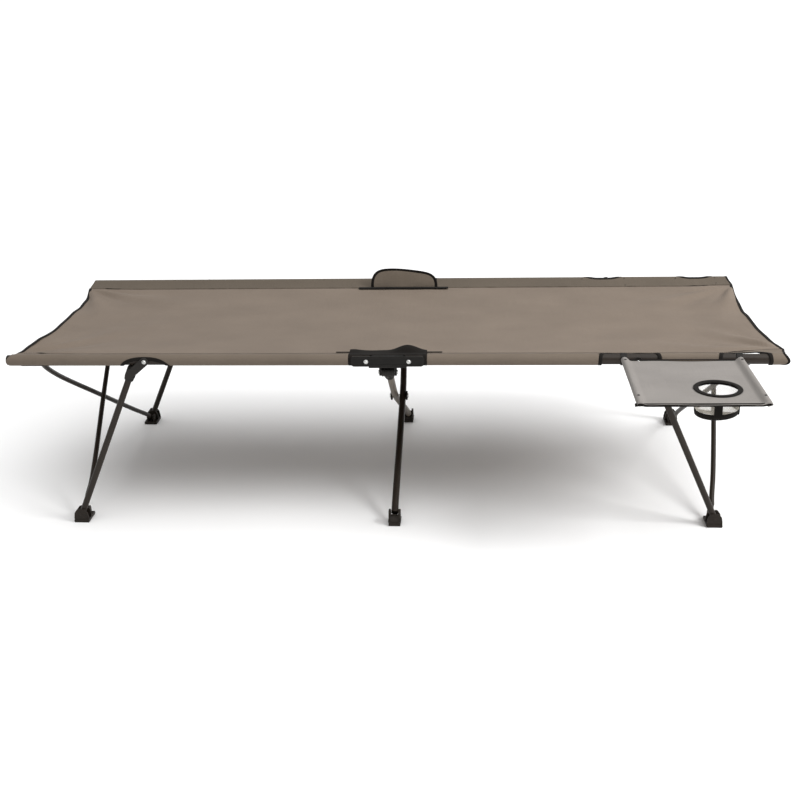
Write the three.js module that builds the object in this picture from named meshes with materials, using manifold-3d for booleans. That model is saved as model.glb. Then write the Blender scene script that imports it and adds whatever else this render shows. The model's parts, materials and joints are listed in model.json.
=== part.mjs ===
// Folding camp cot with a clip-on side table and cup holder. Millimetres, +Z up.
// Origin: on the floor, at the middle of the whole outline, side table included. +X runs along the
// cot and +Y points from the table to the far rail. The functions below measure Y from the middle of
// the bed, and the finished group is moved by BED_Y.
// Two side rails, each in two halves on a centre hinge, carry a stretched fabric bed. A scissor pair
// of legs stands under the centre hinges, and at each end two outward-leaning legs are tied to the
// opposite rails by a pair of crossed braces.
import * as THREE from 'three';
import { mergeVertices } from 'three/addons/utils/BufferGeometryUtils.js';
import Module from 'manifold-3d';

const wasm = await Module();
wasm.setup();

// ---- driving dimensions ----
const GAP = 0.3; // clearance between touching pieces
const RAIL_HALF = 948; // rail end, from the middle of the cot
const RAIL_Y = 350; // rail axis, from the middle of the cot
const RAIL_Z = 446; // rail axis height
const RAIL_R = 12.5;
const RAIL_WALL = 1.5;
const HINGE_X = 52; // bolt on which a rail half folds
const RAIL_PAST_BOLT = 10; // length of rail inboard of that bolt
const PLATE_HALF = 93; // centre hinge plate, half its length
const PLATE_T = 2.5;
const LEG_BOLT_X = 600; // bolt on which an end leg folds
const LEG_OFFSET = 24; // leg axis passes this far outboard of its bolt
const LEG_R = 8;
const LEG_Y = 348; // plane of the end legs
const FOOT_X = 814; // end foot
const FOOT_Z = 22; // pins of all feet
const BRACE_R = 6.5;
const BRACE_RAIL_X = 880; // upper end of a brace, along the rail
const BRACE_RAIL_Z = 436;
// Each brace of a pair bows off their common plane, so that the two pass each other. These are shares
// of its length from the foot, and how far it stands off there, away from the end (inner) or towards it.
const BRACE_BOWS = {
  inner: [[0.05, 0], [0.11, -5.5], [0.5, -6.5], [0.89, -5.5], [0.95, 0]],
  outer: [[0.05, 0], [0.16, 6.5], [0.5, 17], [0.8, 23.5], [0.93, 13], [0.975, 2]],
};
const CENTER_LEG_R = 9;
const CENTER_TOP_Z = 414; // pin under each centre hinge
const CENTER_LEG_WALL = 1.4;
const CENTER_BOW = 9.6; // sideways bow of a centre leg where the pair crosses
const FOLDED_WIDTH = 220; // rail to rail, when folded
const LEG_SHORT_OF_RAIL = 7; // degrees between a folded leg and its rail, to leave room for the foot
const SLEEVE_T = 1.1;
const SLING_HALF_Y = 331;
const SLING_SAG = 13;
const SLING_T = 2.2;
const TABLE = { x0: 560, x1: 847, yPivot: -374, yFront: -658, z: 450, tube: 6.5 };
const BED_Y = 145; // middle of the bed, from the origin
const CUP = { x: 750, y: -561, hole: 45, ring: 54, wall: 48.5, depth: 57 };

const ENDS = [['left', -1], ['right', 1]];
const SIDES = [['near', -1], ['far', 1]];

// ---- the fold's geometry: the same triangle and scissor at both ends ----
const legReach = Math.hypot(FOOT_X - LEG_BOLT_X, RAIL_Z - FOOT_Z);
const legLength = Math.sqrt(legReach ** 2 - LEG_OFFSET ** 2);
const legLean = Math.atan2(FOOT_X - LEG_BOLT_X, RAIL_Z - FOOT_Z) - Math.asin(LEG_OFFSET / legReach);
const braceRise = Math.hypot(BRACE_RAIL_X - FOOT_X, BRACE_RAIL_Z - FOOT_Z);
const shy = THREE.MathUtils.degToRad(LEG_SHORT_OF_RAIL);
const foldedFoot = { // from the leg's bolt, inboard and down
  inboard: legLength * Math.cos(shy) - LEG_OFFSET * Math.sin(shy),
  down: legLength * Math.sin(shy) + LEG_OFFSET * Math.cos(shy),
};
const braceRiseFolded = Math.hypot(BRACE_RAIL_X - LEG_BOLT_X + foldedFoot.inboard,
  BRACE_RAIL_Z - RAIL_Z + foldedFoot.down);
const narrowing = 2 * RAIL_Y - FOLDED_WIDTH;
const braceSpan = ((braceRiseFolded ** 2 - braceRise ** 2) / narrowing + narrowing) / 2;
const BRACE_Y = braceSpan / 2; // both ends of every brace

// ---- materials ----
const finish = (color, roughness, metalness) => ({ color, roughness, metalness });
const FINISH = {
  tube: finish(0x2e2823, 0.42, 0.35),
  plastic: finish(0x1b1a18, 0.55, 0),
  bolt: finish(0xc4c4c2, 0.25, 1),
  fabric: finish(0x8c7f73, 0.9, 0),
  binding: finish(0x1d1b1a, 0.85, 0),
  tableFabric: finish(0x98928d, 0.9, 0),
  mesh: finish(0xd9d4ca, 0.8, 0),
};

const cot = new THREE.Group();

// ---- solids ----
function toSolid(geometry) {
  let g = geometry.clone();
  g.deleteAttribute('normal');
  g.deleteAttribute('uv');
  g = mergeVertices(g, 1e-3);
  return new wasm.Manifold(new wasm.Mesh({
    numProp: 3,
    vertProperties: new Float32Array(g.attributes.position.array),
    triVerts: new Uint32Array(g.index.array),
  }));
}

function toGeometry(solid) {
  const mesh = solid.getMesh();
  const g = new THREE.BufferGeometry();
  g.setAttribute('position', new THREE.BufferAttribute(new Float32Array(mesh.vertProperties), 3));
  g.setIndex(new THREE.BufferAttribute(new Uint32Array(mesh.triVerts), 1));
  return g;
}

const join = (...parts) => toGeometry(parts.map(toSolid).reduce((a, b) => a.add(b)));

const cut = (body, ...tools) => toGeometry(
  tools.map(toSolid).reduce((a, b) => a.subtract(b), toSolid(body)));

function add(name, geometry, look) {
  const mesh = new THREE.Mesh(geometry, new THREE.MeshStandardMaterial(FINISH[look]));
  mesh.name = name;
  cot.add(mesh);
}

// ---- shapes ----
function box(x0, x1, y0, y1, z0, z1) {
  const [xs, ys, zs] = [[x0, x1], [y0, y1], [z0, z1]].map((p) => p.sort((a, b) => a - b));
  const g = new THREE.BoxGeometry(xs[1] - xs[0], ys[1] - ys[0], zs[1] - zs[0]);
  return g.translate((xs[0] + xs[1]) / 2, (ys[0] + ys[1]) / 2, (zs[0] + zs[1]) / 2);
}

function rod(a, b, radius, sides = 12) {
  const from = new THREE.Vector3(...a);
  const to = new THREE.Vector3(...b);
  const along = to.clone().sub(from);
  const g = new THREE.CylinderGeometry(radius, radius, along.length(), sides);
  g.applyQuaternion(new THREE.Quaternion().setFromUnitVectors(
    new THREE.Vector3(0, 1, 0), along.clone().normalize()));
  const middle = from.add(to).multiplyScalar(0.5);
  return g.translate(middle.x, middle.y, middle.z);
}

const polygon = (radius, sides) => new THREE.Shape(Array.from({ length: sides }, (_, i) => {
  const a = (2 * Math.PI * (i + 0.5)) / sides;
  return new THREE.Vector2(radius * Math.cos(a), radius * Math.sin(a));
}));

// A round pipe along X, with sides of the same phase on every radius.
function pipeX(x0, x1, y, z, outer, inner, sides = 16) {
  const shape = polygon(outer, sides);
  if (inner > 0) shape.holes.push(polygon(inner, sides));
  const g = new THREE.ExtrudeGeometry(shape, { depth: Math.abs(x1 - x0), bevelEnabled: false });
  return g.rotateY(Math.PI / 2).translate(Math.min(x0, x1), y, z);
}

// A bent pipe, open at both ends, through the given points.
function tube(points, radius, wall, steps, sides = 10) {
  const path = new THREE.CatmullRomCurve3(points.map((p) => new THREE.Vector3(...p)), false,
    'centripetal');
  const section = polygon(radius, sides);
  section.holes.push(polygon(radius - wall, sides));
  return new THREE.ExtrudeGeometry(section, { steps, extrudePath: path, bevelEnabled: false });
}

// A plate whose outline lies in the XZ plane, between two heights in Y.
function plateY(outline, y0, y1) {
  const shape = new THREE.Shape(outline.map(([x, z]) => new THREE.Vector2(x, z)));
  const g = new THREE.ExtrudeGeometry(shape, { depth: Math.abs(y1 - y0), bevelEnabled: false });
  return g.rotateX(Math.PI / 2).translate(0, Math.max(y0, y1), 0);
}

// A plate whose outline (y, z) lies across the cot, between two places along X.
function plateX(outline, x0, x1) {
  const shape = new THREE.Shape(outline.map(([y, z]) => new THREE.Vector2(y, z)));
  const g = new THREE.ExtrudeGeometry(shape, { depth: Math.abs(x1 - x0), bevelEnabled: false });
  g.applyMatrix4(new THREE.Matrix4().makeBasis(
    new THREE.Vector3(0, 1, 0), new THREE.Vector3(0, 0, 1), new THREE.Vector3(1, 0, 0)));
  return g.translate(Math.min(x0, x1), 0, 0);
}

// Outline of two round ends joined by tangents.
function stadium([ax, az], [bx, bz], ra, rb, steps = 5) {
  const heading = Math.atan2(bz - az, bx - ax);
  const tilt = Math.asin((ra - rb) / Math.hypot(bx - ax, bz - az));
  const outline = [];
  const half = Math.PI / 2;
  for (let i = 0; i <= steps; i += 1) {
    const a = heading + half - tilt + ((Math.PI + 2 * tilt) * i) / steps;
    outline.push([ax + ra * Math.cos(a), az + ra * Math.sin(a)]);
  }
  for (let i = 0; i <= steps; i += 1) {
    const a = heading - half + tilt + ((Math.PI - 2 * tilt) * i) / steps;
    outline.push([bx + rb * Math.cos(a), bz + rb * Math.sin(a)]);
  }
  return outline;
}

// A bolt along Y with a domed head on one side and a nut on the other.
function boltY(x, z, yHead, yNut, shank = 3.6, head = 6.5) {
  const out = Math.sign(yHead - yNut);
  return join(
    rod([x, yNut, z], [x, yHead, z], shank, 8),
    rod([x, yHead, z], [x, yHead + 2.6 * out, z], head, 10),
    rod([x, yNut, z], [x, yNut - 4 * out, z], head * 0.85, 6),
  );
}

// ---- centre legs: a scissor pair, each from one centre foot to the opposite hinge ----
const CENTER_FOOT_X = { near: 6, far: 2 };
const centerRise = CENTER_TOP_Z - FOOT_Z;

function centerLegs() {
  const length = Math.hypot(centerRise, 2 * RAIL_Y);
  for (const [name, foot, t, bow] of [['center_leg_a', 'near', -1, 1], ['center_leg_b', 'far', 1, -1]]) {
    const at = (share, x) => [x, t * RAIL_Y * (1 - 2 * share), FOOT_Z + centerRise * share];
    const straight = 50 / length;
    add(name, tube([
      at(0.01, CENTER_FOOT_X[foot]), at(0.07, CENTER_FOOT_X[foot]),
      at(0.5 - straight, bow * CENTER_BOW), at(0.5 + straight, bow * CENTER_BOW),
      at(0.92, 0), at(0.97, 0),
    ], CENTER_LEG_R, CENTER_LEG_WALL, 14, 10), 'tube');
  }
  const middle = FOOT_Z + centerRise / 2;
  const wall = CENTER_BOW + CENTER_LEG_R + GAP;
  add('center_cross_bolt', join(
    rod([wall, 0, middle], [wall + 5, 0, middle], 11, 16),
    rod([wall + 4.9, 0, middle], [wall + 8, 0, middle], 6.5, 6),
  ), 'bolt');
}

// The ribbed knuckle on top of each centre leg, which swings on a pin in its hinge.
function centerKnuckles() {
  for (const [side, t] of SIDES) {
    const y = t * RAIL_Y;
    const ribs = [[-15.5, 0], [-15.5, 11.5], [-10, 11.5], [-8, 10.2], [8, 10.2], [10, 11.5],
      [15.5, 11.5], [15.5, 0]];
    const barrel = new THREE.LatheGeometry(ribs.map(([x, r]) => new THREE.Vector2(r, x)), 14);
    barrel.rotateZ(-Math.PI / 2).translate(0, y, CENTER_TOP_Z);
    const down = new THREE.Vector3(0, -t * 2 * RAIL_Y, -centerRise).normalize();
    const along = (d) => [0, y + down.y * d, CENTER_TOP_Z + down.z * d];
    add(`${side}_center_knuckle`, cut(
      join(barrel, rod(along(0), along(50), 11.6, 12)),
      rod(along(20), along(60), CENTER_LEG_R + 0.8, 12),
      rod([-30, y, CENTER_TOP_Z], [30, y, CENTER_TOP_Z], 3.6, 8),
    ), 'plastic');
  }
}

function centerFeet() {
  const half = 15;
  const cheek = CENTER_LEG_R + 0.8;
  for (const [side, t] of SIDES) {
    const x = CENTER_FOOT_X[side];
    const y = t * RAIL_Y;
    const profile = [[-14, 4], [14, 4], [15, 28], [10, 38], [-10, 38], [-15, 28]]
      .map(([dy, z]) => [y + dy, z]);
    const sole = [[-18, 0], [18, 0], [19, 6], [15, 9], [-15, 9], [-19, 6]]
      .map(([dy, z]) => [y + dy, z]);
    add(`center_${side}_foot`, join(
      plateX(sole, x - half, x + half),
      plateX(profile, x - half, x - cheek),
      plateX(profile, x + cheek, x + half),
    ), 'plastic');
  }
}

// ---- centre hinge: two plates and a moulded block that carry both rail halves and a leg ----
function centerHinges() {
  const inner = RAIL_R + 0.9;
  const corner = (sx, sz, turn) => [0, 1, 2].map((i) => {
    const a = turn + (i * Math.PI) / 4;
    return [sx * (PLATE_HALF - 8) + 8 * Math.cos(a), RAIL_Z + sz * 5 + 8 * Math.sin(a)];
  });
  const outline = [...corner(1, 1, 0), ...corner(-1, 1, Math.PI / 2), ...corner(-1, -1, Math.PI),
    ...corner(1, -1, 1.5 * Math.PI)];
  const [low, high] = [RAIL_Z - 17, RAIL_Z + RAIL_R];
  for (const [side, t] of SIDES) {
    const y = t * RAIL_Y;
    const solid = join(
      plateY(outline, y - inner, y - inner - PLATE_T),
      plateY(outline, y + inner, y + inner + PLATE_T),
      box(-36, 36, y - inner - 0.5, y + inner + 0.5, low, high),
      box(-44, 44, y - inner - 0.5, y + inner + 0.5, low, RAIL_Z - RAIL_R - GAP),
      box(-21, -15.9, y - 9, y + 9, CENTER_TOP_Z - 8, low + 0.5),
      box(15.9, 21, y - 9, y + 9, CENTER_TOP_Z - 8, low + 0.5),
    );
    add(`${side}_center_hinge`, cut(solid,
      rod([-HINGE_X, y - 30, RAIL_Z], [-HINGE_X, y + 30, RAIL_Z], 4, 10),
      rod([HINGE_X, y - 30, RAIL_Z], [HINGE_X, y + 30, RAIL_Z], 4, 10),
      rod([-30, y, CENTER_TOP_Z], [30, y, CENTER_TOP_Z], 3.6, 8),
    ), 'plastic');
    add(`${side}_center_pin`, join(
      rod([-24, y, CENTER_TOP_Z], [24, y, CENTER_TOP_Z], 3.1, 8),
      rod([21.3, y, CENTER_TOP_Z], [24, y, CENTER_TOP_Z], 6),
      rod([-24, y, CENTER_TOP_Z], [-21.3, y, CENTER_TOP_Z], 6),
    ), 'bolt');
    for (const [end, s] of ENDS) {
      const out = inner + PLATE_T + GAP;
      add(`${side}_${end}_hinge_bolt`, boltY(s * HINGE_X, RAIL_Z, y + t * out, y - t * out), 'bolt');
    }
  }
}

// ---- rails ----
const lugAt = (s) => s * BRACE_RAIL_X;

function rails() {
  for (const [side, t] of SIDES) {
    for (const [end, s] of ENDS) {
      const name = `${side}_${end}`;
      const y = t * RAIL_Y;
      const pipe = pipeX(s * (HINGE_X - RAIL_PAST_BOLT), s * RAIL_HALF, y, RAIL_Z, RAIL_R,
        RAIL_R - RAIL_WALL);
      const drill = (x) => rod([s * x, y - 20, RAIL_Z], [s * x, y + 20, RAIL_Z], 4, 10);
      // lug that the end of a brace is riveted against, welded to the rail's inner side
      const lug = box(lugAt(s) - 9, lugAt(s) + 9, t * (BRACE_Y + BRACE_R + 2),
        t * (RAIL_Y - RAIL_R + 1.2), RAIL_Z - 10, RAIL_Z + 1);
      add(`${name}_rail`, cut(join(pipe, lug), drill(HINGE_X), drill(LEG_BOLT_X)), 'tube');
      const plug = RAIL_R - RAIL_WALL - GAP - 0.2;
      add(`${name}_rail_cap`, join(
        pipeX(s * (RAIL_HALF - 14), s * (RAIL_HALF + 1), y, RAIL_Z, plug, 0, 12),
        pipeX(s * (RAIL_HALF + GAP), s * (RAIL_HALF + 3.5), y, RAIL_Z, RAIL_R, 0, 16),
      ), 'plastic');
    }
  }
}

// ---- end legs, their sockets and bolts ----
// A point on an end leg: so far down from its bolt, and so far outboard of it.
const onLeg = (s, down, out) => [
  s * (LEG_BOLT_X + out * Math.cos(legLean) + down * Math.sin(legLean)),
  RAIL_Z + out * Math.sin(legLean) - down * Math.cos(legLean)];

function endLegs() {
  const inner = RAIL_R + SLEEVE_T + 0.9;
  const outer = inner + 2.2;
  const block = [34, 60];
  for (const [side, t] of SIDES) {
    for (const [end, s] of ENDS) {
      const name = `${side}_${end}`;
      const y = t * RAIL_Y;
      const at = (down, out, ly = t * LEG_Y) => {
        const [x, z] = onLeg(s, down, out);
        return [x, ly, z];
      };
      const outline = stadium([s * LEG_BOLT_X, RAIL_Z], onLeg(s, block[1] - 10, LEG_OFFSET), 11,
        9.5);
      const clamp = [[block[0], -9.5], [block[0], 9.5], [block[1], 9.5], [block[1], -9.5]]
        .map(([down, out]) => onLeg(s, down, LEG_OFFSET + out));
      add(`${name}_leg_socket`, cut(join(
        plateY(outline, y - inner, y - outer),
        plateY(outline, y + inner, y + outer),
        plateY(clamp, y - inner - 0.5, y + inner + 0.5),
      ),
      rod(at(block[0] + 5, LEG_OFFSET), at(block[1] + 20, LEG_OFFSET), LEG_R + GAP + 0.1, 12),
      rod([s * LEG_BOLT_X, y - 30, RAIL_Z], [s * LEG_BOLT_X, y + 30, RAIL_Z], 4, 10),
      ), 'plastic');
      add(`${name}_leg`, tube([at(block[0] + 6, LEG_OFFSET), at(legLength * 0.5, LEG_OFFSET),
        at(legLength, LEG_OFFSET)], LEG_R, 1.2, 3, 12), 'tube');
      const head = outer + GAP;
      add(`${name}_leg_bolt`, boltY(s * LEG_BOLT_X, RAIL_Z, y + t * head, y - t * head), 'bolt');
    }
  }
}

// ---- end feet: each holds the end of a leg and the end of a brace ----
function endFeet() {
  for (const [side, t] of SIDES) {
    for (const [end, s] of ENDS) {
      const x = s * FOOT_X;
      const at = (dx, z) => [x + dx, z];
      const profile = [at(-13, 4), at(13, 4), at(12, 30), at(6, 37), at(-6, 37), at(-12, 30)];
      const yLeg = t * LEG_Y;
      const yBrace = t * BRACE_Y;
      const cheek = LEG_R + 0.9;
      const fork = (x0, x1) => plateX(
        [[-9, 4], [9, 4], [9, 23], [4, 30], [-4, 30], [-9, 23]].map(([dy, z]) => [yBrace + dy, z]),
        x0, x1);
      const sole = [at(-21, 0), at(21, 0), at(22, 5), at(17, 9.5), at(-17, 9.5), at(-22, 5)];
      add(`${side}_${end}_foot`, join(
        plateY(sole, t * (BRACE_Y - 10), t * (LEG_Y + 13)),
        plateY(profile, yLeg - cheek, yLeg - cheek - 3.2),
        plateY(profile, yLeg + cheek, yLeg + cheek + 3.2),
        fork(x - BRACE_R - 1.6, x - BRACE_R - 5.2),
        fork(x + BRACE_R + 1.6, x + BRACE_R + 5.2),
      ), 'plastic');
    }
  }
}

// ---- braces: from each end foot across to the opposite rail ----
// The plane of a pair leans outboard with the feet; its rise and its normal, in X and Z.
const riseX = (BRACE_RAIL_X - FOOT_X) / braceRise;
const riseZ = (BRACE_RAIL_Z - FOOT_Z) / braceRise;

function braces() {
  for (const [side, t] of SIDES) {
    for (const [end, s] of ENDS) {
      const at = ([share, bow]) => [
        s * (FOOT_X + riseX * braceRise * share + bow * riseZ),
        t * (BRACE_Y - braceSpan * share),
        FOOT_Z + riseZ * braceRise * share - bow * riseX];
      const bows = BRACE_BOWS[s * t > 0 ? 'inner' : 'outer'];
      add(`${side}_${end}_brace`, tube([[0, 0], ...bows, [1, 0]].map(at), BRACE_R, 1.2, 18, 8),
        'tube');
    }
  }
}

// ---- fabric bed: a sleeve round each rail half, and the sling between them ----
function sleeves() {
  const outer = RAIL_R + GAP + SLEEVE_T;
  for (const [side, t] of SIDES) {
    for (const [end, s] of ENDS) {
      const y = t * RAIL_Y;
      const window = (x0, x1) => [
        box(s * x0, s * x1, t * (RAIL_Y - 9), t * (RAIL_Y + 25), RAIL_Z - 25, RAIL_Z + 25),
        box(s * x0, s * x1, t * (RAIL_Y - 25), t * (RAIL_Y + 25), RAIL_Z - 25, RAIL_Z - 4)];
      const tools = [
        ...window(542, 658),
        box(s * (LEG_BOLT_X - 9), s * (LEG_BOLT_X + 9), t * (RAIL_Y - 25), y, RAIL_Z - 8, RAIL_Z + 8),
        box(lugAt(s) - 12, lugAt(s) + 12, t * (RAIL_Y - 25), y, RAIL_Z - 25, RAIL_Z + 2)];
      if (end === 'right') tools.push(...window(799, 900));
      add(`${side}_${end}_sleeve`, cut(pipeX(s * 98, s * (RAIL_HALF - 2), y, RAIL_Z, outer,
        RAIL_R + GAP), ...tools), 'fabric');
    }
  }
}

// The height of the sling's middle surface between the rails.
const slingZ = (y) => RAIL_Z + 7 - SLING_SAG * (1 - (y / SLING_HALF_Y) ** 2);

function sling() {
  const steps = 10;
  const ys = Array.from({ length: steps + 1 }, (_, i) => SLING_HALF_Y * ((2 * i) / steps - 1));
  const section = [...ys.map((y) => [y, slingZ(y) + SLING_T / 2]),
    ...ys.map((y) => [y, slingZ(y) - SLING_T / 2]).reverse()];
  add('sling_left', plateX(section, -RAIL_HALF + 38, -HINGE_X - GAP / 2), 'fabric');
  add('sling_center', plateX(section, -HINGE_X + GAP / 2, HINGE_X - GAP / 2), 'fabric');
  add('sling_right', plateX(section, HINGE_X + GAP / 2, RAIL_HALF - 38), 'fabric');
}

// Loose flaps sewn beside each centre hinge, turned up off the hinge.
function hingeFlaps() {
  const flap = (half, height) => Array.from({ length: 9 }, (_, i) => {
    const a = (Math.PI * i) / 8;
    return [half * Math.cos(a), height * Math.sin(a) ** 0.6];
  });
  const foot = slingZ(SLING_HALF_Y - 20) + SLING_T + 1;
  const outline = flap(96, 60).map(([x, z]) => [x, foot + z]);
  add('far_hinge_flap', plateY(outline, RAIL_Y - 46, RAIL_Y - 48), 'fabric');
  const low = flap(62, 20).map(([x, z]) => [x + 38, foot + z]);
  add('near_hinge_flap', plateY(low, -RAIL_Y + 30, -RAIL_Y + 32), 'fabric');
}

// ---- side table ----
function sideTable() {
  const { x0, x1, yPivot, yFront, z, tube: r } = TABLE;
  const inset = r + 1;
  for (const [end, x] of [['left', x0 + inset], ['right', x1 - inset]]) {
    const tongue = stadium([yPivot, z], [-RAIL_Y - 15, z], 5.6, 5.6);
    add(`table_${end}_hook`, cut(join(
      pipeX(x - 7, x + 7, -RAIL_Y, RAIL_Z, RAIL_R + 2.7, 0),
      plateX(tongue, x - 3, x + 3),
    ),
    pipeX(x - 20, x + 20, -RAIL_Y, RAIL_Z, RAIL_R + GAP, 0),
    box(x - 20, x + 20, -RAIL_Y + 7, -RAIL_Y + 40, RAIL_Z - 30, RAIL_Z + 30),
    ), 'plastic');
    const cheek = stadium([yPivot, z], [yPivot - 18, z], 5.6, 5.6);
    add(`table_${end}_tube`, join(
      rod([x, yPivot - 10, z], [x, yFront, z], r, 12),
      plateX(cheek, x - 3.3, x - 5.8),
      plateX(cheek, x + 3.3, x + 5.8),
    ), 'tube');
  }
  const edge = inset + r + GAP;
  add('table_front_bar', box(x0 + edge, x1 - edge, yFront + 28, yFront + 42, z - 5, z - 1.5), 'tube');
  const hole = new THREE.CylinderGeometry(CUP.hole, CUP.hole, 20, 28).rotateX(Math.PI / 2)
    .translate(CUP.x, CUP.y, z);
  add('table_top', cut(box(x0 + edge, x1 - edge, yPivot - 4, yFront - 2, z - 1.2, z + 1.2), hole),
    'tableFabric');
  const lathe = (profile) => new THREE.LatheGeometry(
    profile.map(([radius, height]) => new THREE.Vector2(radius, height)), 28)
    .rotateX(Math.PI / 2).translate(CUP.x, CUP.y, z);
  add('cup_ring', lathe([[CUP.hole - 1, 1.5], [CUP.ring, 1.5], [CUP.ring - 1, 4],
    [CUP.hole, 4], [CUP.hole - 1, 1.5]]), 'binding');
  add('cup_basket', lathe([[0, -CUP.depth], [CUP.wall, -CUP.depth], [CUP.wall + 1, -1.5],
    [CUP.hole, -1.5], [CUP.hole, -3.2], [CUP.wall - 1.2, -3.2], [CUP.wall - 1.8, 1.8 - CUP.depth],
    [0, 1.8 - CUP.depth]]), 'mesh');
}

centerLegs();
centerKnuckles();
centerFeet();
centerHinges();
rails();
endLegs();
endFeet();
braces();
sleeves();
sling();
hingeFlaps();
sideTable();

cot.position.y = BED_Y;

export default cot;
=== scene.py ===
# The looks of the folding camp cot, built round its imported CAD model. Metres, +Z up, in the CAD frame:
# the cot lies along X, the side table is on the -Y side, and the floor is at Z 0.
import json
from math import acos, asin, atan2, copysign, cos, dist, exp, hypot, pi, radians, sin, sqrt

import bmesh
import bpy
from mathutils import Matrix, Vector, noise


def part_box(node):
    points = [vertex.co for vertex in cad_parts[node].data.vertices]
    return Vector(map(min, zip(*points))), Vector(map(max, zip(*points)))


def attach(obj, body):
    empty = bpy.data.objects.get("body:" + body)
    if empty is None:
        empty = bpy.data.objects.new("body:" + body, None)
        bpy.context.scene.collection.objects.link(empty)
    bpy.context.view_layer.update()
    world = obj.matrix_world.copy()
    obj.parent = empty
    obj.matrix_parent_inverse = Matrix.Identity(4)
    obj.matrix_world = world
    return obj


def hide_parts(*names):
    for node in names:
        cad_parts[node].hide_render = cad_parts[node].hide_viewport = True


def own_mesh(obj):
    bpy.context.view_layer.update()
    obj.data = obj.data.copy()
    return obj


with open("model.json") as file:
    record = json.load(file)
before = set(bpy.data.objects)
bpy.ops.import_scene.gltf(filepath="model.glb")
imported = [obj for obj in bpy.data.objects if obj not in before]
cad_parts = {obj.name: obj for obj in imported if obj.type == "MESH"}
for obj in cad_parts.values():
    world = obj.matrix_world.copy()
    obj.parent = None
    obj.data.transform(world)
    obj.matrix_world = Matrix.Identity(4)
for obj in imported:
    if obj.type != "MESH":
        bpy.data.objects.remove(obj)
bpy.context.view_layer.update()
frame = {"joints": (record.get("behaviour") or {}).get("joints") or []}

# ---- places that the frame gives ----
joints = {j["name"]: j for j in frame["joints"]}
pivot = {name: Vector(j["pos_m"]) for name, j in joints.items()}
SIDES = (("near", -1), ("far", 1))  # with their signs along Y
ENDS = (("left", -1), ("right", 1))  # with their signs along X
CORNERS = [(side, t, end, s, f"{side}_{end}") for side, t in SIDES for end, s in ENDS]
UP = Vector((0, 0, 1))
BED_Y = (pivot["near_left_rail_fold"].y + pivot["far_left_rail_fold"].y) / 2
RAIL_Y = (pivot["far_left_rail_fold"].y - pivot["near_left_rail_fold"].y) / 2
RAIL_Z = pivot["near_left_rail_fold"].z
HINGE_X = pivot["near_right_rail_fold"].x
LEG_BOLT_X = pivot["near_right_leg_fold"].x
FOOT_X = pivot["near_right_foot_tilt"].x
FOOT_Z = pivot["near_right_foot_tilt"].z
LEG_Y = pivot["far_right_foot_tilt"].y - BED_Y
BRACE_Y = pivot["far_right_brace_fold"].y - BED_Y
CENTER_TOP_Z = pivot["near_hinge_tilt"].z
CENTER_FOOT_X = {"near": pivot["fold"].x, "far": pivot["center_far_foot_tilt"].x}
RAIL_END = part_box("near_right_rail")[1].x

# ---- sizes of the metal ----
RAIL_R = 0.0125
LEG_R = 0.008
BRACE_R = 0.0065
CENTER_LEG_R = 0.009
LEG_OFFSET = 0.024  # a leg's axis passes this far outboard of its bolt
BRACE_RAIL_X = 0.880
BRACE_RAIL_Z = 0.436
# how a brace bows off its pair's plane: (share of its length from the foot, distance)
BRACE_BOWS = {
    "inner": ((0.05, 0.0), (0.11, -0.0055), (0.5, -0.0065), (0.89, -0.0055), (0.95, 0.0)),
    "outer": ((0.05, 0.0), (0.16, 0.0065), (0.5, 0.017), (0.8, 0.0235), (0.93, 0.013), (0.975, 0.002)),
}
CENTER_BOW = 0.0096
PLATE_HALF = 0.0895
TABLE_R = 0.0065
SHANK_R = 0.0034  # of the bolts
RIVET_R = 0.0032

# ---- sizes of the cloth ----
SEAM_IN = 0.050  # a sleeve's seam, inboard of the rail's axis
SEAM_DROP = 0.0015  # and below it
HALF_BED = RAIL_Y - SEAM_IN  # from the middle of the bed to a seam
CORNER_LIFT = {"near_left": 0.002, "far_left": 0.003, "near_right": 0.009, "far_right": 0.003}
SLEEVE_R = RAIL_R + 0.0013
SLING_SAG = 0.012
SLEEVE_START = 0.0915
SLEEVE_END = {  # how far each sleeve reaches, by share of the way round it from its seam
    "near_left": ((0, 0.9445), (0.35, 0.938), (0.50, 0.950), (0.65, 0.9415), (1, 0.937)),
    "far_left": ((0, 0.953), (0.35, 0.9495), (0.50, 0.950), (0.65, 0.950), (1, 0.953)),
    "near_right": ((0, 0.956), (0.20, 0.951), (0.35, 0.9465), (0.50, 0.9565), (0.65, 0.943), (1, 0.941)),
    "far_right": ((0, 0.957), (0.35, 0.9505), (0.50, 0.951), (0.65, 0.954), (1, 0.957)),
}
SHAPED_FROM, SHAPED_LENGTH = 0.918, 0.082  # the part of a sleeve that its end's shape bends
SLING_MIDDLE = {"left": 0.9300, "right": 0.9455}  # how far the bed's cloth reaches at its middle
CLOTH_T = 0.0010
TABLE_WRAP = TABLE_R + 0.0009  # the table's cloth round its tubes
TAPE_SIDES = 10
SEAM_ROW = 0.0022  # from a seam to the row of stitches on each side of it
STITCH_PITCH = 0.0046
STITCH_ANGLES = (0, 1.047, 2.094, 3.142, 4.189, 5.236)

collection = bpy.context.scene.collection


def rail_y(t):
    """Y of the rail's axis on one side."""
    return BED_Y + t * RAIL_Y


def uneven(x, y, z):
    """Smooth noise, the same in every run."""
    return noise.noise(Vector((x, y, z)))


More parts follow.
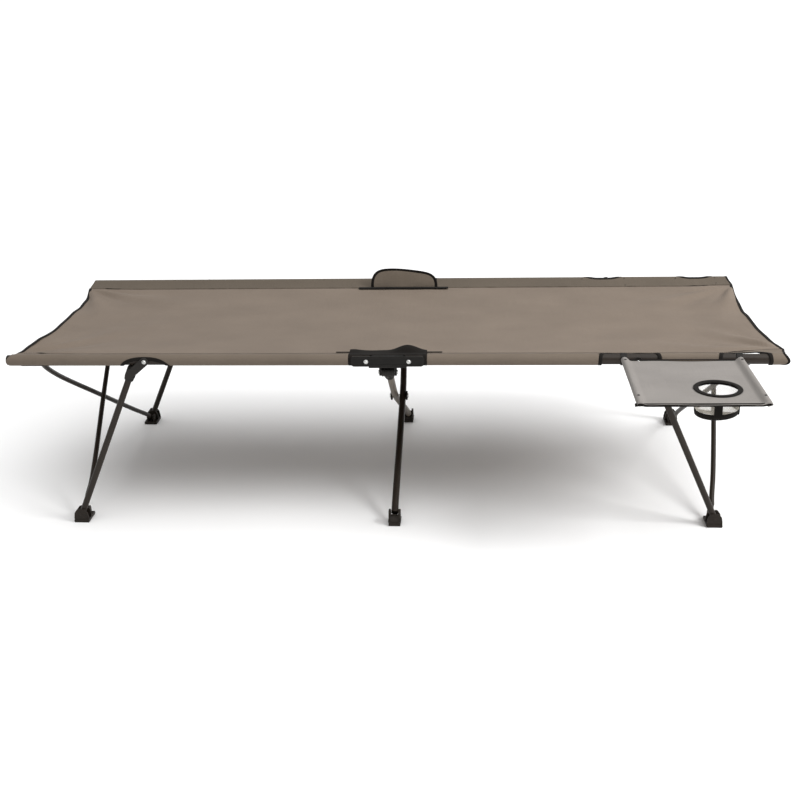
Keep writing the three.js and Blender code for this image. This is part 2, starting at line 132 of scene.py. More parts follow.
# ---- materials ----
class Recipe:
    """A node material that ends in one Principled shader, whose plain sockets are given by name."""

    def __init__(self, name, sockets):
        self.material = bpy.data.materials.new(name)
        self.material.use_nodes = True
        self.tree = self.material.node_tree
        self.shader = self.tree.nodes["Principled BSDF"]
        for key, value in sockets.items():
            self.shader.inputs[key].default_value = value

    def node(self, kind, inputs=None, **settings):
        made = self.tree.nodes.new("ShaderNode" + kind)
        for key, value in settings.items():
            setattr(made, key, value)
        for key, value in (inputs or {}).items():
            self.feed(made.inputs[key], value)
        return made

    def feed(self, socket, value):
        if isinstance(value, bpy.types.NodeSocket):
            self.tree.links.new(value, socket)
        else:
            socket.default_value = value

    def math(self, operation, a, b=0.0, c=0.0):
        return self.node("Math", {0: a, 1: b, 2: c}, operation=operation).outputs[0]

    def mix(self, share, a, b):
        """Between two colours; each is another node's, or its red, green and blue."""
        a, b = [c if isinstance(c, bpy.types.NodeSocket) else (*c, 1.0) for c in (a, b)]
        return self.node("MixRGB", {"Fac": share, "Color1": a, "Color2": b}).outputs[0]

    def noise(self, place, scale, detail=3.0, stretch=(1, 1, 1)):
        moved = self.node("Mapping", {"Vector": place, "Scale": stretch}).outputs[0]
        return self.node("TexNoise", {"Vector": moved, "Scale": scale, "Detail": detail}).outputs["Fac"]

    def between(self, value, low, high):
        """value, which runs from 0 to 1, laid over another range."""
        return self.math("MULTIPLY_ADD", value, high - low, low)

    def spread(self, value, low, high):
        """The middle half of a noise, laid over a range."""
        return self.node("MapRange", {"Value": value, "From Min": 0.25, "From Max": 0.75,
                                      "To Min": low, "To Max": high}).outputs[0]

    def bump(self, height, distance, strength=1.0, under=None):
        inputs = {"Height": height, "Distance": distance, "Strength": strength}
        if under is not None:
            inputs["Normal"] = under
        return self.node("Bump", inputs).outputs[0]

    def worn(self, low, high):
        """How worn a place is: 1 on edges that are sharper than high, 0 on those blunter than low."""
        edges = self.node("NewGeometry").outputs["Pointiness"]
        return self.node("MapRange", {"Value": edges, "From Min": low, "From Max": high}).outputs[0]

    def object_place(self):
        return self.node("TexCoord").outputs["Object"]

    def cloth_place(self):
        """The place in the cut cloth, whole and as its parts."""
        place = self.node("UVMap", uv_map="cloth").outputs["UV"]
        return place, self.node("SeparateXYZ", {"Vector": place}).outputs

    def finish(self, colour, roughness=None, normal=None):
        for key, value in (("Base Color", colour), ("Roughness", roughness), ("Normal", normal)):
            if value is not None:
                self.feed(self.shader.inputs[key], value)
        return self.material


def woven(name, dark, light, pitch, sheen, depth=0.00018):
    """Plain-woven cloth: threads over and under each other, with slubs and slow changes of shade."""
    r = Recipe(name, {"Roughness": 0.82, "Sheen Weight": sheen, "Sheen Roughness": 0.45,
                      "Specular IOR Level": 0.25})
    place, parts = r.cloth_place()
    warp, weft = [r.math("SINE", r.math("MULTIPLY", parts[i], pi / pitch)) for i in (0, 1)]
    over = r.math("GREATER_THAN", r.math("MULTIPLY", warp, weft), 0.0)
    warp_top = r.math("MULTIPLY", r.math("ABSOLUTE", warp), over)
    weft_top = r.math("MULTIPLY", r.math("ABSOLUTE", weft), r.math("SUBTRACT", 1.0, over))
    height = r.math("ADD", warp_top, weft_top)
    slub_warp = r.noise(place, 1.0, 2.0, (0.55 / pitch, 9, 1))
    slub_weft = r.noise(place, 1.0, 2.0, (9, 0.55 / pitch, 1))
    slub = r.math("MULTIPLY", r.math("ADD", slub_warp, slub_weft), 0.5)
    cloud = r.noise(place, 5.5, 4.0, (1, 1.6, 1))
    shade = r.math("ADD", r.spread(slub, -0.16, 0.16), r.spread(cloud, 0.32, 0.68))
    # Thread crowns lighter and the hollows between threads darker: painted shade in the weave.
    shade = r.math("ADD", shade, r.between(height, -0.10, 0.10))
    fine = r.bump(height, depth, 0.55)
    return r.finish(r.mix(shade, dark, light), r.spread(cloud, 0.78, 0.9),
                    r.bump(slub, 0.00035, 0.35, fine))


def tape_cloth(name, dark, light, rib=0.0011):
    """Woven binding tape: fine ribs across its length."""
    r = Recipe(name, {"Roughness": 0.8, "Sheen Weight": 0.03, "Specular IOR Level": 0.10})
    place, parts = r.cloth_place()
    ribs = r.math("SINE", r.math("MULTIPLY", parts[0], 2 * pi / rib))
    fibre, worn = r.noise(place, 420, 2.0), r.noise(place, 28, 3.0)
    shade = r.math("ADD", r.spread(worn, 0.1, 0.6), r.between(fibre, -0.15, 0.25))
    first = r.bump(r.between(ribs, 0.4, 0.6), 0.0003, 0.6)
    return r.finish(r.mix(shade, dark, light), r.spread(worn, 0.7, 0.92),
                    r.bump(fibre, 0.0002, 0.4, first))


def coated_steel(name, dark, light):
    """Powder-coated tube: a fine orange-peel skin that is worn brighter where it is handled."""
    r = Recipe(name, {"Roughness": 0.4, "Specular IOR Level": 0.2})
    place = r.object_place()
    peel, cloud, speck = r.noise(place, 620, 2.0), r.noise(place, 11, 5.0), r.noise(place, 260, 4.0)
    shade = r.math("ADD", r.spread(cloud, 0.15, 0.6), r.spread(speck, -0.12, 0.12))
    worn = r.math("MULTIPLY", r.worn(0.53, 0.62), 0.3)
    colour = r.mix(worn, r.mix(shade, dark, light), (0.075, 0.064, 0.054))
    return r.finish(colour, r.spread(cloud, 0.32, 0.5), r.bump(peel, 0.00012, 0.35))


def moulded_plastic(name, dark, light, grain=1500):
    """Fine-grained moulded nylon, a little polished on its edges."""
    r = Recipe(name, {"Roughness": 0.5, "Specular IOR Level": 0.16})
    place = r.object_place()
    cells = r.node("TexVoronoi", {"Vector": place, "Scale": grain}).outputs["Distance"]
    cloud = r.noise(place, 38, 4.0)
    worn = r.worn(0.52, 0.65)
    colour = r.mix(r.spread(cloud, 0.2, 0.8), dark, light)
    colour = r.mix(r.math("MULTIPLY", worn, 0.3), colour, (0.04, 0.036, 0.032))
    rough = r.math("SUBTRACT", r.spread(cloud, 0.42, 0.58), r.math("MULTIPLY", worn, 0.12))
    return r.finish(colour, rough, r.bump(cells, 0.00012, 0.5))


def bright_steel(name, dark, light):
    """Zinc-plated steel with fine turning marks."""
    r = Recipe(name, {"Roughness": 0.25, "Metallic": 1.0})
    place = r.object_place()
    marks, cloud = r.noise(place, 900, 2.0, (1, 0.15, 1)), r.noise(place, 90, 4.0)
    return r.finish(r.mix(r.spread(cloud, 0.2, 0.9), dark, light), r.spread(marks, 0.18, 0.34),
                    r.bump(marks, 0.00005, 0.4))


def plain_floor(name, light):
    r = Recipe(name, {"Roughness": 0.9, "Specular IOR Level": 0.1})
    dark = [c * 0.985 for c in light]
    return r.finish(r.mix(r.noise(r.object_place(), 1.3, 3.0), dark, light))


BED_THREAD = 0.00075  # from thread to thread in the bed's cloth
# A lighter copy of the tube coating, for the far centre leg: its paleness is painted reflection of the
# bright floor and lamps on a glossy coat.
PAINTED_REFLECTION_TUBE = coated_steel("painted_reflection_tube_look", (0.110, 0.092, 0.073), (0.205, 0.174, 0.141))
TUBE = coated_steel("tube_coating_look", (0.0115, 0.0082, 0.0060), (0.029, 0.0215, 0.0155))
PLASTIC = moulded_plastic("moulded_plastic_look", (0.0045, 0.0040, 0.0034), (0.0115, 0.0102, 0.0088))
FOOT_PLASTIC = moulded_plastic("foot_plastic_look", (0.0085, 0.0064, 0.0048), (0.026, 0.0195, 0.0145),
                               900)
STEEL = bright_steel("bolt_steel_look", (0.45, 0.45, 0.44), (0.78, 0.78, 0.76))
BED_CLOTH = woven("bed_fabric_look", (0.116, 0.090, 0.069), (0.194, 0.155, 0.122), BED_THREAD, 0.05)
# Darker copies of the bed's cloth for the sleeves: painted shade where the cloth turns down round the
# rails, deepest on the far sleeve.
SHADED_SLEEVE_CLOTH = {
    "near": woven("near_sleeve_look", (0.096, 0.075, 0.057), (0.160, 0.129, 0.101), BED_THREAD, 0.04),
    "far": woven("far_sleeve_painted_shade_look", (0.069, 0.055, 0.041), (0.116, 0.094, 0.072), BED_THREAD, 0.03),
}
# A darker copy of the bed's cloth for the standing far flap: painted shade.
SHADED_FLAP_CLOTH = woven("flap_painted_shade_look", (0.104, 0.083, 0.063), (0.178, 0.146, 0.114), BED_THREAD, 0.04)
TAPE = tape_cloth("binding_tape_look", (0.0042, 0.0034, 0.0028), (0.0135, 0.0112, 0.0094))
THREAD = tape_cloth("thread_look", (0.080, 0.064, 0.051), (0.145, 0.117, 0.094), 0.0006)
TABLE_CLOTH = woven("table_fabric_look", (0.155, 0.143, 0.132), (0.246, 0.229, 0.214), 0.0009, 0.05)
NET = tape_cloth("cup_mesh_look", (0.42, 0.39, 0.34), (0.66, 0.62, 0.55), 0.0007)


# ---- shapes: each is a list of points and a list of faces ----
def ramp(value, low, high):
    share = min(1.0, max(0.0, (value - low) / (high - low)))
    return share * share * (3 - 2 * share)


def loft(rings, caps=True, closed=False):
    """A skin over rings that have the same number of points each."""
    count = len(rings[0])
    points = [Vector(p) for ring in rings for p in ring]
    faces = []
    for i in range(len(rings) if closed else len(rings) - 1):
        a, b = i * count, (i + 1) % len(rings) * count
        for k in range(count):
            n = (k + 1) % count
            faces.append((a + k, a + n, b + n, b + k))
    if caps and not closed:
        faces.append(tuple(range(count)))
        faces.append(tuple(range(len(points) - count, len(points))))
    return points, faces


def grid(columns, rows, place):
    """A sheet's points, and their places in the cut cloth. place(i, j) gives both."""
    made = [[place(i, j) for j in range(rows + 1)] for i in range(columns + 1)]
    return [[p for p, _ in line] for line in made], [[q for _, q in line] for line in made]


def joined(*shapes):
    points, faces = [], []
    for p, f in shapes:
        faces += [tuple(k + len(points) for k in face) for face in f]
        points += p
    return points, faces


def spline(points, per=10):
    """Points on a smooth curve through the given ones (centripetal Catmull-Rom)."""
    p = [Vector(q) for q in points]
    p = [p[0] * 2 - p[1], *p, p[-1] * 2 - p[-2]]
    found = []
    for i in range(1, len(p) - 2):
        t = [0.0]
        for k in range(3):
            t.append(t[-1] + (p[i + k] - p[i + k - 1]).length ** 0.5)
        for j in range(per):
            u = t[1] + (t[2] - t[1]) * j / per
            a = [p[i + k - 1].lerp(p[i + k], (u - t[k]) / (t[k + 1] - t[k])) for k in range(3)]
            b = [a[k].lerp(a[k + 1], (u - t[k]) / (t[k + 2] - t[k])) for k in range(2)]
            found.append(b[0].lerp(b[1], (u - t[1]) / (t[2] - t[1])))
    return [*found, p[-2]]


def headings(points, closed=False):
    n = len(points)
    ahead = [points[(i + 1) % n if closed else min(i + 1, n - 1)] for i in range(n)]
    behind = [points[i - 1 if closed else max(i - 1, 0)] for i in range(n)]
    return [(a - b).normalized() for a, b in zip(ahead, behind)]


def circle(count):
    """Cosine and sine of evenly spaced angles, once round."""
    return [(cos(a), sin(a)) for a in (2 * pi * k / count for k in range(count))]


def tube(points, radius, sides=28, pressed=None):
    """A round bar along points. pressed(i) gives a direction and how flat the section is along it."""
    side, rings = None, []
    for i, (p, along) in enumerate(zip(points, headings(points))):
        side = along.orthogonal() if side is None else side - along * side.dot(along)
        side.normalize()
        other = along.cross(side)
        ring = []
        for c, s in circle(sides):
            v = radius * (side * c + other * s)
            if pressed:
                flat, share = pressed(i)
                part = flat * v.dot(flat)
                v = part * share + (v - part) * (1 + 0.45 * (1 - share))
            ring.append(p + v)
        rings.append(ring)
    return loft(rings)


def rod(a, b, radius, sides=28):
    return tube([Vector(a), Vector(b)], radius, sides)


def pin(x, y, z, reach, radius, along=0):
    """A rod that reaches as far to both sides of a point, along X (0) or Y (1)."""
    low, high = [x, y, z], [x, y, z]
    low[along] -= reach
    high[along] += reach
    return rod(low, high, radius)


def ribbon(points, normals, width, thickness, closed=False):
    """A flat tape with round edges along points, with its face towards the normals."""
    rings = []
    for p, n, along in zip(points, normals, headings(points, closed)):
        side = along.cross(n).normalized()
        up = side.cross(along)
        rings.append([p + side * (width / 2 * copysign(abs(c) ** 0.6, c))
                      + up * (thickness / 2 * copysign(abs(s) ** 0.7, s))
                      for c, s in circle(TAPE_SIDES)])
    return loft(rings, closed=closed)


def plate_y(outline, y0, y1):
    return loft([[(x, y, z) for x, z in outline] for y in (y0, y1)])


def plate_x(outline, x0, x1):
    return loft([[(x, y, z) for y, z in outline] for x in (x0, x1)])


def two_plates(plate, outline, middle, inner, outer):
    """The same plate at both sides of a middle, from inner to outer away from it."""
    return (plate(outline, middle - outer, middle - inner),
            plate(outline, middle + inner, middle + outer))


def box(x0, x1, y0, y1, z0, z1):
    return plate_y([(x0, z0), (x1, z0), (x1, z1), (x0, z1)], y0, y1)


def lathe(profile, centre, axis, sides=40, closed=False):
    """profile is (radius, distance along the axis). Its ends lie on the axis unless it is closed."""
    axis = Vector(axis).normalized()
    side = axis.orthogonal().normalized()
    other = axis.cross(side)
    rings = [[Vector(centre) + axis * d + (side * c + other * s) * max(r, 1e-5)
              for c, s in circle(sides)] for r, d in profile]
    return loft(rings, closed=closed)


def both_ends(profile, middle, wall=0.0):
    """The same turned piece at both sides of a point, so far from it along X."""
    wall = Vector((wall, 0, 0))
    return joined(lathe(profile, middle + wall, (1, 0, 0)), lathe(profile, middle - wall, (-1, 0, 0)))


def mirrored(middle, right, *top):
    """An outline about middle, from the points of its right half, as (distance from it, height)."""
    left = [(middle - a, b) for a, b in right[::-1]]
    return [left[-1], *((middle + a, b) for a, b in (*right, *top)), *left[:-1]]


def rounded(x0, x1, z0, z1, radius, steps=5):
    """Outline of a rectangle with round corners."""
    outline = []
    for x, z, quarter in ((x1, z1, 0), (x0, z1, 1), (x0, z0, 2), (x1, z0, 3)):
        cx = x - radius if x == x1 else x + radius
        cz = z - radius if z == z1 else z + radius
        angles = [pi / 2 * (quarter + i / steps) for i in range(steps + 1)]
        outline += [(cx + radius * cos(a), cz + radius * sin(a)) for a in angles]
    return outline


def stadium(a, b, ra, rb, steps=12):
    """Outline of two round ends joined by tangents."""
    heading = atan2(b[1] - a[1], b[0] - a[0])
    tilt = asin((ra - rb) / dist(a, b))
    outline = []
    for (x, z), r, start, turn in ((a, ra, heading + pi / 2 - tilt, pi + 2 * tilt),
                                   (b, rb, heading - pi / 2 + tilt, pi - 2 * tilt)):
        angles = [start + turn * i / steps for i in range(steps + 1)]
        outline += [(x + r * cos(angle), z + r * sin(angle)) for angle in angles]
    return outline


# ---- pieces ----
def new_mesh(name, shape):
    mesh = bpy.data.meshes.new(name)
    mesh.from_pydata([tuple(p) for p in shape[0]], [], shape[1])
    return mesh


def edit_mesh(mesh, *steps):
    bm = bmesh.new()
    bm.from_mesh(mesh)
    for step in steps:
        step(bm)
    bm.to_mesh(mesh)
    bm.free()


def weld(reach):
    """A step that merges the points that lie closer together than this."""
    return lambda bm: bmesh.ops.remove_doubles(bm, verts=bm.verts, dist=reach)


def face_outwards(bm):
    bmesh.ops.recalc_face_normals(bm, faces=bm.faces)


def drop_loose(bm):
    bmesh.ops.delete(bm, geom=[v for v in bm.verts if not v.link_faces], context="VERTS")


def to_mesh(name, shape):
    mesh = new_mesh(name, shape)
    edit_mesh(mesh, weld(1e-6), face_outwards)
    return mesh


def fused(shapes, cuts=()):
    """The union of shapes, less the cuts, as one closed skin."""
    made = [bpy.data.objects.new("part", to_mesh("part", s)) for s in (*shapes, *cuts)]
    for o in made:
        collection.objects.link(o)
    for i, o in enumerate(made[1:], 1):
        change = made[0].modifiers.new("join", "BOOLEAN")
        change.operation = "UNION" if i < len(shapes) else "DIFFERENCE"
        change.solver = "EXACT"
        change.object = o
    bpy.context.view_layer.update()
    result = made[0].evaluated_get(bpy.context.evaluated_depsgraph_get()).to_mesh()
    found = [v.co.copy() for v in result.vertices], [tuple(f.vertices) for f in result.polygons]
    for o in made:
        bpy.data.meshes.remove(o.data)
    return found


def piece(name, mesh, body, slot, material, stands_for=()):
    obj = bpy.data.objects.new(name, mesh)
    collection.objects.link(obj)
    mesh.materials.append(material)
    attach(obj, body)
    if stands_for:
        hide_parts(*stands_for)
    return obj


def solid(name, shape, body, slot, material, stands_for=(), bevel=0.0, sharp=38):
    mesh = to_mesh(name, shape)
    mesh.shade_smooth()
    mesh.set_sharp_from_angle(angle=radians(sharp))
    obj = piece(name, mesh, body, slot, material, stands_for)
    if bevel:
        round_off = obj.modifiers.new("round", "BEVEL")
        round_off.width = bevel
        round_off.segments = 3
        round_off.limit_method = "ANGLE"
        round_off.angle_limit = radians(sharp)
        round_off.use_clamp_overlap = True
        even = obj.modifiers.new("even", "WEIGHTED_NORMAL")
        even.keep_sharp = False
    return obj


def steel(name, shape, body, stands_for=(), bevel=0.0004):
    return solid(name, shape, body, "bolt_steel", STEEL, stands_for, bevel)


def plastic(name, shape, body, stands_for=(), bevel=0.0012, material=PLASTIC):
    return solid(name, shape, body, "moulded_plastic", material, stands_for, bevel)


def bar(name, shape, body, stands_for=(), bevel=0.0):
    return solid(name, shape, body, "tube_coating", TUBE, stands_for, bevel)


def map_cloth(mesh, place):
    """Lays the cloth map of a mesh: place(i) is vertex i's place in the cut cloth."""
    layer = mesh.uv_layers.new(name="cloth")
    for loop in mesh.loops:
        layer.data[loop.index].uv = place(loop.vertex_index)


def cloth(name, points, flat, body, slot, material, stands_for=(), thickness=CLOTH_T, hidden=None):
    """A sheet through a grid of points, with its threads along flat, the grid's places in the cut
    cloth. hidden(i, j) leaves a face out."""
    rows, columns = len(points), len(points[0])
    faces = [(i * columns + j, i * columns + j + 1, (i + 1) * columns + j + 1, (i + 1) * columns + j)
             for i in range(rows - 1) for j in range(columns - 1) if not (hidden and hidden(i, j))]
    mesh = new_mesh(name, ([p for row in points for p in row], faces))
    places = [p for row in flat for p in row]
    map_cloth(mesh, lambda i: places[i])
    edit_mesh(mesh, drop_loose, weld(2e-6))
    mesh.shade_smooth()
    obj = piece(name, mesh, body, slot, material, stands_for)
    if thickness:
        thicken = obj.modifiers.new("thickness", "SOLIDIFY")
        thicken.thickness = thickness
        thicken.offset = 0
    return obj


def tape(name, points, normals, body, width=0.010, thickness=0.0024, closed=False):
    """Binding tape along points. normals is one direction for all of it, or one for each point."""
    if isinstance(normals, Vector):
        normals = [normals] * len(points)
    mesh = new_mesh(name, ribbon(points, normals, width, thickness, closed))
    run = [0.0]
    for a, b in zip(points, points[1:]):
        run.append(run[-1] + (b - a).length)
    half = TAPE_SIDES // 2
    map_cloth(mesh, lambda i: (run[i // TAPE_SIDES], width * abs(i % TAPE_SIDES - half) / half))
    mesh.shade_smooth()
    edit_mesh(mesh, face_outwards)
    return piece(name, mesh, body, "binding_tape", TAPE)


def bolt(name, x, z, y_head, y_nut, body, stands_for):
    """A bolt along Y: a domed head with a crossed recess, a washer, and a hexagonal nut."""
    out = 1 if y_head > y_nut else -1

    def disc(profile, y, sides=40):
        return lathe([(r, d * out) for r, d in profile], (x, y, z), (0, 1, 0), sides)

    dome = disc([(0, 0), (0.0045, 0), (0.0045, 0.0005), (0.0042, 0.0014), (0.0034, 0.0023),
                 (0.0020, 0.0028), (0, 0.0030)], y_head + 0.0007 * out)
    washer = disc([(0, 0), (0.0053, 0), (0.0053, 0.0007), (0, 0.0007)], y_head)
    nut = disc([(0, 0), (0.0062, 0), (0.0062, -0.0038), (0, -0.0038)], y_nut, 6)
    front = sorted((y_head + 0.0024 * out, y_head + 0.006 * out))
    slots = [box(x - a, x + a, *front, z - b, z + b) for a, b in ((0.0024, 0.0006), (0.0006, 0.0024))]
    shank = rod((x, y_nut, z), (x, y_head, z), SHANK_R)
    steel(name, joined(fused([dome], slots), washer, nut, shank), body, stands_for, 0.0003)


# ---- rails ----
def make_rails():
    for _, t, _, s, name in CORNERS:
        y, body = rail_y(t), f"{name}_rail"
        start, length, hollow = HINGE_X - 0.010, RAIL_END - HINGE_X + 0.010, RAIL_R - 0.0015
        shell = lathe([(RAIL_R, 0.0), (RAIL_R, length), (hollow, length), (hollow, 0.0)],
                      (s * start, y, RAIL_Z), (s, 0, 0), 48, closed=True)
        lug_y = BED_Y + t * BRACE_Y
        outline = stadium((BED_Y + t * (RAIL_Y - RAIL_R + 0.001), RAIL_Z - 0.005),
                          (lug_y, BRACE_RAIL_Z), 0.0085, 0.0075)
        cheeks = [plate_x(outline, s * x, s * (x + 0.003))
                  for x in (BRACE_RAIL_X - 0.0085, BRACE_RAIL_X + 0.0055)]
        rivet = pin(s * BRACE_RAIL_X, lug_y, BRACE_RAIL_Z, s * 0.011, RIVET_R)
        bar(f"{name}_rail_tube", joined(shell, *cheeks, rivet), body, [body], 0.0004)
        cap = lathe([(0, -0.012), (RAIL_R - 0.002, -0.012), (RAIL_R - 0.002, 0.0003),
                     (RAIL_R, 0.0003), (RAIL_R, 0.0016), (RAIL_R - 0.0012, 0.0030), (0, 0.0034)],
                    (s * RAIL_END, y, RAIL_Z), (s, 0, 0))
        plastic(f"{name}_rail_plug", cap, body, [f"{name}_rail_cap"], 0.0004)


# ---- end legs ----
LEG_REACH = hypot(FOOT_X - LEG_BOLT_X, RAIL_Z - FOOT_Z)
LEG_LENGTH = sqrt(LEG_REACH ** 2 - LEG_OFFSET ** 2)
LEG_LEAN = atan2(FOOT_X - LEG_BOLT_X, RAIL_Z - FOOT_Z) - asin(LEG_OFFSET / LEG_REACH)


def on_leg(s, down, out):
    """X and Z of a point so far down a leg from its bolt, and so far outboard of it."""
    return (s * (LEG_BOLT_X + out * cos(LEG_LEAN) + down * sin(LEG_LEAN)),
            RAIL_Z + out * sin(LEG_LEAN) - down * cos(LEG_LEAN))


def make_end_legs():
    for _, t, _, s, name in CORNERS:
        body = f"{name}_leg"
        y_rail, y_leg = rail_y(t), BED_Y + t * LEG_Y

        def at(down, out=LEG_OFFSET):
            x, z = on_leg(s, down, out)
            return Vector((x, y_leg, z))

        bar(f"{name}_leg_tube", tube([at(0.040), at(LEG_LENGTH)], LEG_R), body, [body], 0.0005)
        ends = (s * LEG_BOLT_X, RAIL_Z), on_leg(s, 0.050, LEG_OFFSET)
        outline, slim = stadium(*ends, 0.0105, 0.0100), stadium(*ends, 0.0072, 0.0095)
        block = [on_leg(s, d, LEG_OFFSET + o) for d, o in
                 ((0.034, -0.0095), (0.034, 0.0095), (0.056, 0.0095), (0.056, -0.0095))]
        collar = [(0, 0.030), (0.0105, 0.030), (0.0128, 0.034), (0.0128, 0.058), (0.0118, 0.061),
                  (0.0118, 0.066), (0.0105, 0.069), (0, 0.069)]
        socket = fused([plate_y(outline, y_rail + t * 0.0150, y_rail + t * 0.0176),
                        plate_y(slim, y_rail - t * 0.0150, y_rail - t * 0.0172),
                        plate_y(block, y_rail - 0.0160, y_rail + 0.0160),
                        lathe(collar, at(0), at(1) - at(0))])
        plastic(f"{name}_leg_bracket", socket, body, [f"{name}_leg_socket"], 0.0010)
        bolt(f"{name}_leg_screw", s * LEG_BOLT_X, RAIL_Z, y_rail + t * 0.0178, y_rail - t * 0.0174,
             f"{name}_rail", [f"{name}_leg_bolt"])


def make_end_feet():
    for _, t, _, s, name in CORNERS:
        x, y_leg, y_brace, body = s * FOOT_X, BED_Y + t * LEG_Y, BED_Y + t * BRACE_Y, f"{name}_foot"
        hood = mirrored(x, [(0.0185, 0.003), (0.0195, 0.012), (0.0170, 0.027), (0.0100, 0.0365)])
        fork = mirrored(y_brace, [(0.009, 0.004), (0.009, 0.022), (0.006, 0.028)], (0.0, 0.0305))
        sole = mirrored(x, [(0.0185, 0.0), (0.0200, 0.0035), (0.0192, 0.0085)])
        low, high = sorted((BED_Y + t * (BRACE_Y - 0.0115), BED_Y + t * (LEG_Y + 0.0135)))
        grooves = [box(x - 0.03, x + 0.03, low + share * (high - low) - 0.001,
                       low + share * (high - low) + 0.001, -0.001, 0.0012)
                   for share in (0.14, 0.32, 0.5, 0.68, 0.86)]
        shape = fused([plate_y(sole, low, high), *two_plates(plate_y, hood, y_leg, 0.0088, 0.0122),
                       *two_plates(plate_x, fork, x, 0.0080, 0.0118)], grooves)
        plastic(f"{name}_foot_shoe", shape, body, [body], 0.0013, FOOT_PLASTIC)
        rivets = joined(pin(x, y_leg, FOOT_Z, 0.0131, 0.0036, 1),
                        pin(x, y_brace, FOOT_Z, 0.0126, RIVET_R))
        solid(f"{name}_foot_rivets", rivets, body, "bolt_steel", TUBE, (), 0.0004)


# ---- braces ----
def make_braces():
    rise = hypot(BRACE_RAIL_X - FOOT_X, BRACE_RAIL_Z - FOOT_Z)
    rise_x, rise_z = (BRACE_RAIL_X - FOOT_X) / rise, (BRACE_RAIL_Z - FOOT_Z) / rise
    for _, t, _, s, name in CORNERS:
        def at(share, bow):
            return Vector((s * (FOOT_X + rise_x * rise * share + bow * rise_z),
                           BED_Y + t * BRACE_Y * (1 - 2 * share),
                           FOOT_Z + rise_z * rise * share - bow * rise_x))

        bows = BRACE_BOWS["inner" if s * t > 0 else "outer"]
        path = spline([at(*place) for place in ((0, 0), *bows, (1, 0))], 12)
        path = [path[0] + (path[0] - path[1]).normalized() * 0.006, *path,
                path[-1] + (path[-1] - path[-2]).normalized() * 0.006]
        flat = Vector((rise_z, 0, -s * rise_x))

        def pressed(i):
            from_end = min((path[i] - path[0]).length, (path[i] - path[-1]).length)
            return flat, 0.42 + 0.58 * ramp(from_end, 0.014, 0.034)

        body = f"{name}_brace"
        bar(f"{name}_brace_tube", tube(path, BRACE_R, 28, pressed), body, [body], 0.0004)


# ---- centre legs, knuckles, feet and hinges ----
def make_center_legs():
    rise = CENTER_TOP_Z - FOOT_Z
    straight = 0.050 / hypot(rise, 2 * RAIL_Y)
    for name, foot, t, bow in (("center_leg_a", "near", -1, 1), ("center_leg_b", "far", 1, -1)):
        places = ((0.01, CENTER_FOOT_X[foot]), (0.07, CENTER_FOOT_X[foot]),
                  (0.5 - straight, bow * CENTER_BOW), (0.5 + straight, bow * CENTER_BOW),
                  (0.92, 0), (0.97, 0))
        path = spline([Vector((x, BED_Y + t * RAIL_Y * (1 - 2 * share), FOOT_Z + rise * share))
                       for share, x in places], 12)
        # The far leg takes the lighter copy of the coating: painted reflection.
        look = PAINTED_REFLECTION_TUBE if foot == "far" else TUBE
        solid(f"{name}_tube", tube(path, CENTER_LEG_R, 32), name, "tube_coating", look, [name], 0.0005)
    middle = Vector((0, BED_Y, FOOT_Z + rise / 2))
    wall = CENTER_BOW + CENTER_LEG_R
    collar = [(0, -0.0002), (0.0115, -0.0002), (0.0128, 0.0012), (0.0128, 0.0036), (0.0115, 0.0048),
              (0, 0.0048)]
    plastic("center_pivot_washer", both_ends(collar, middle, wall), "center_leg_a", [], 0.0004)
    head = [(0, 0.0045), (0.0066, 0.0045), (0.0066, 0.0056), (0.0050, 0.0074), (0.0026, 0.0082),
            (0, 0.0084)]
    across = Vector((wall, 0, 0))
    steel("center_pivot_bolt", joined(both_ends(head, middle, wall),
                                      rod(middle - across, middle + across, SHANK_R)),
          "center_leg_a", ["center_cross_bolt"])


def make_center_knuckles():
    rise = CENTER_TOP_Z - FOOT_Z
    for side, t in SIDES:
        body = "center_leg_b" if side == "near" else "center_leg_a"
        down = Vector((0, -t * 2 * RAIL_Y, -rise)).normalized()
        top = Vector((0, rail_y(t), CENTER_TOP_Z))
        ribs = [(0, -0.0152)]
        for i in range(7):
            x = -0.0152 + i * 0.0304 / 7
            ribs += [(0.0114, x), (0.0114, x + 0.0026), (0.0102, x + 0.0031), (0.0102, x + 0.0041)]
        ribs = [*ribs[:-2], (0.0114, 0.0152), (0, 0.0152)]
        sleeve = [(0, 0.0), (0.0115, 0.0), (0.0122, 0.012), (0.0122, 0.038), (0.0128, 0.040),
                  (0.0128, 0.046), (0.0118, 0.049), (0, 0.049)]
        hollow = rod(top + down * 0.020, top + down * 0.060, CENTER_LEG_R + 0.0004)
        shape = fused([lathe(ribs, top, (1, 0, 0), 36), lathe(sleeve, top, down, 36)], [hollow])
        plastic(f"{side}_knuckle_barrel", shape, body, [f"{side}_center_knuckle"], 0.0004)


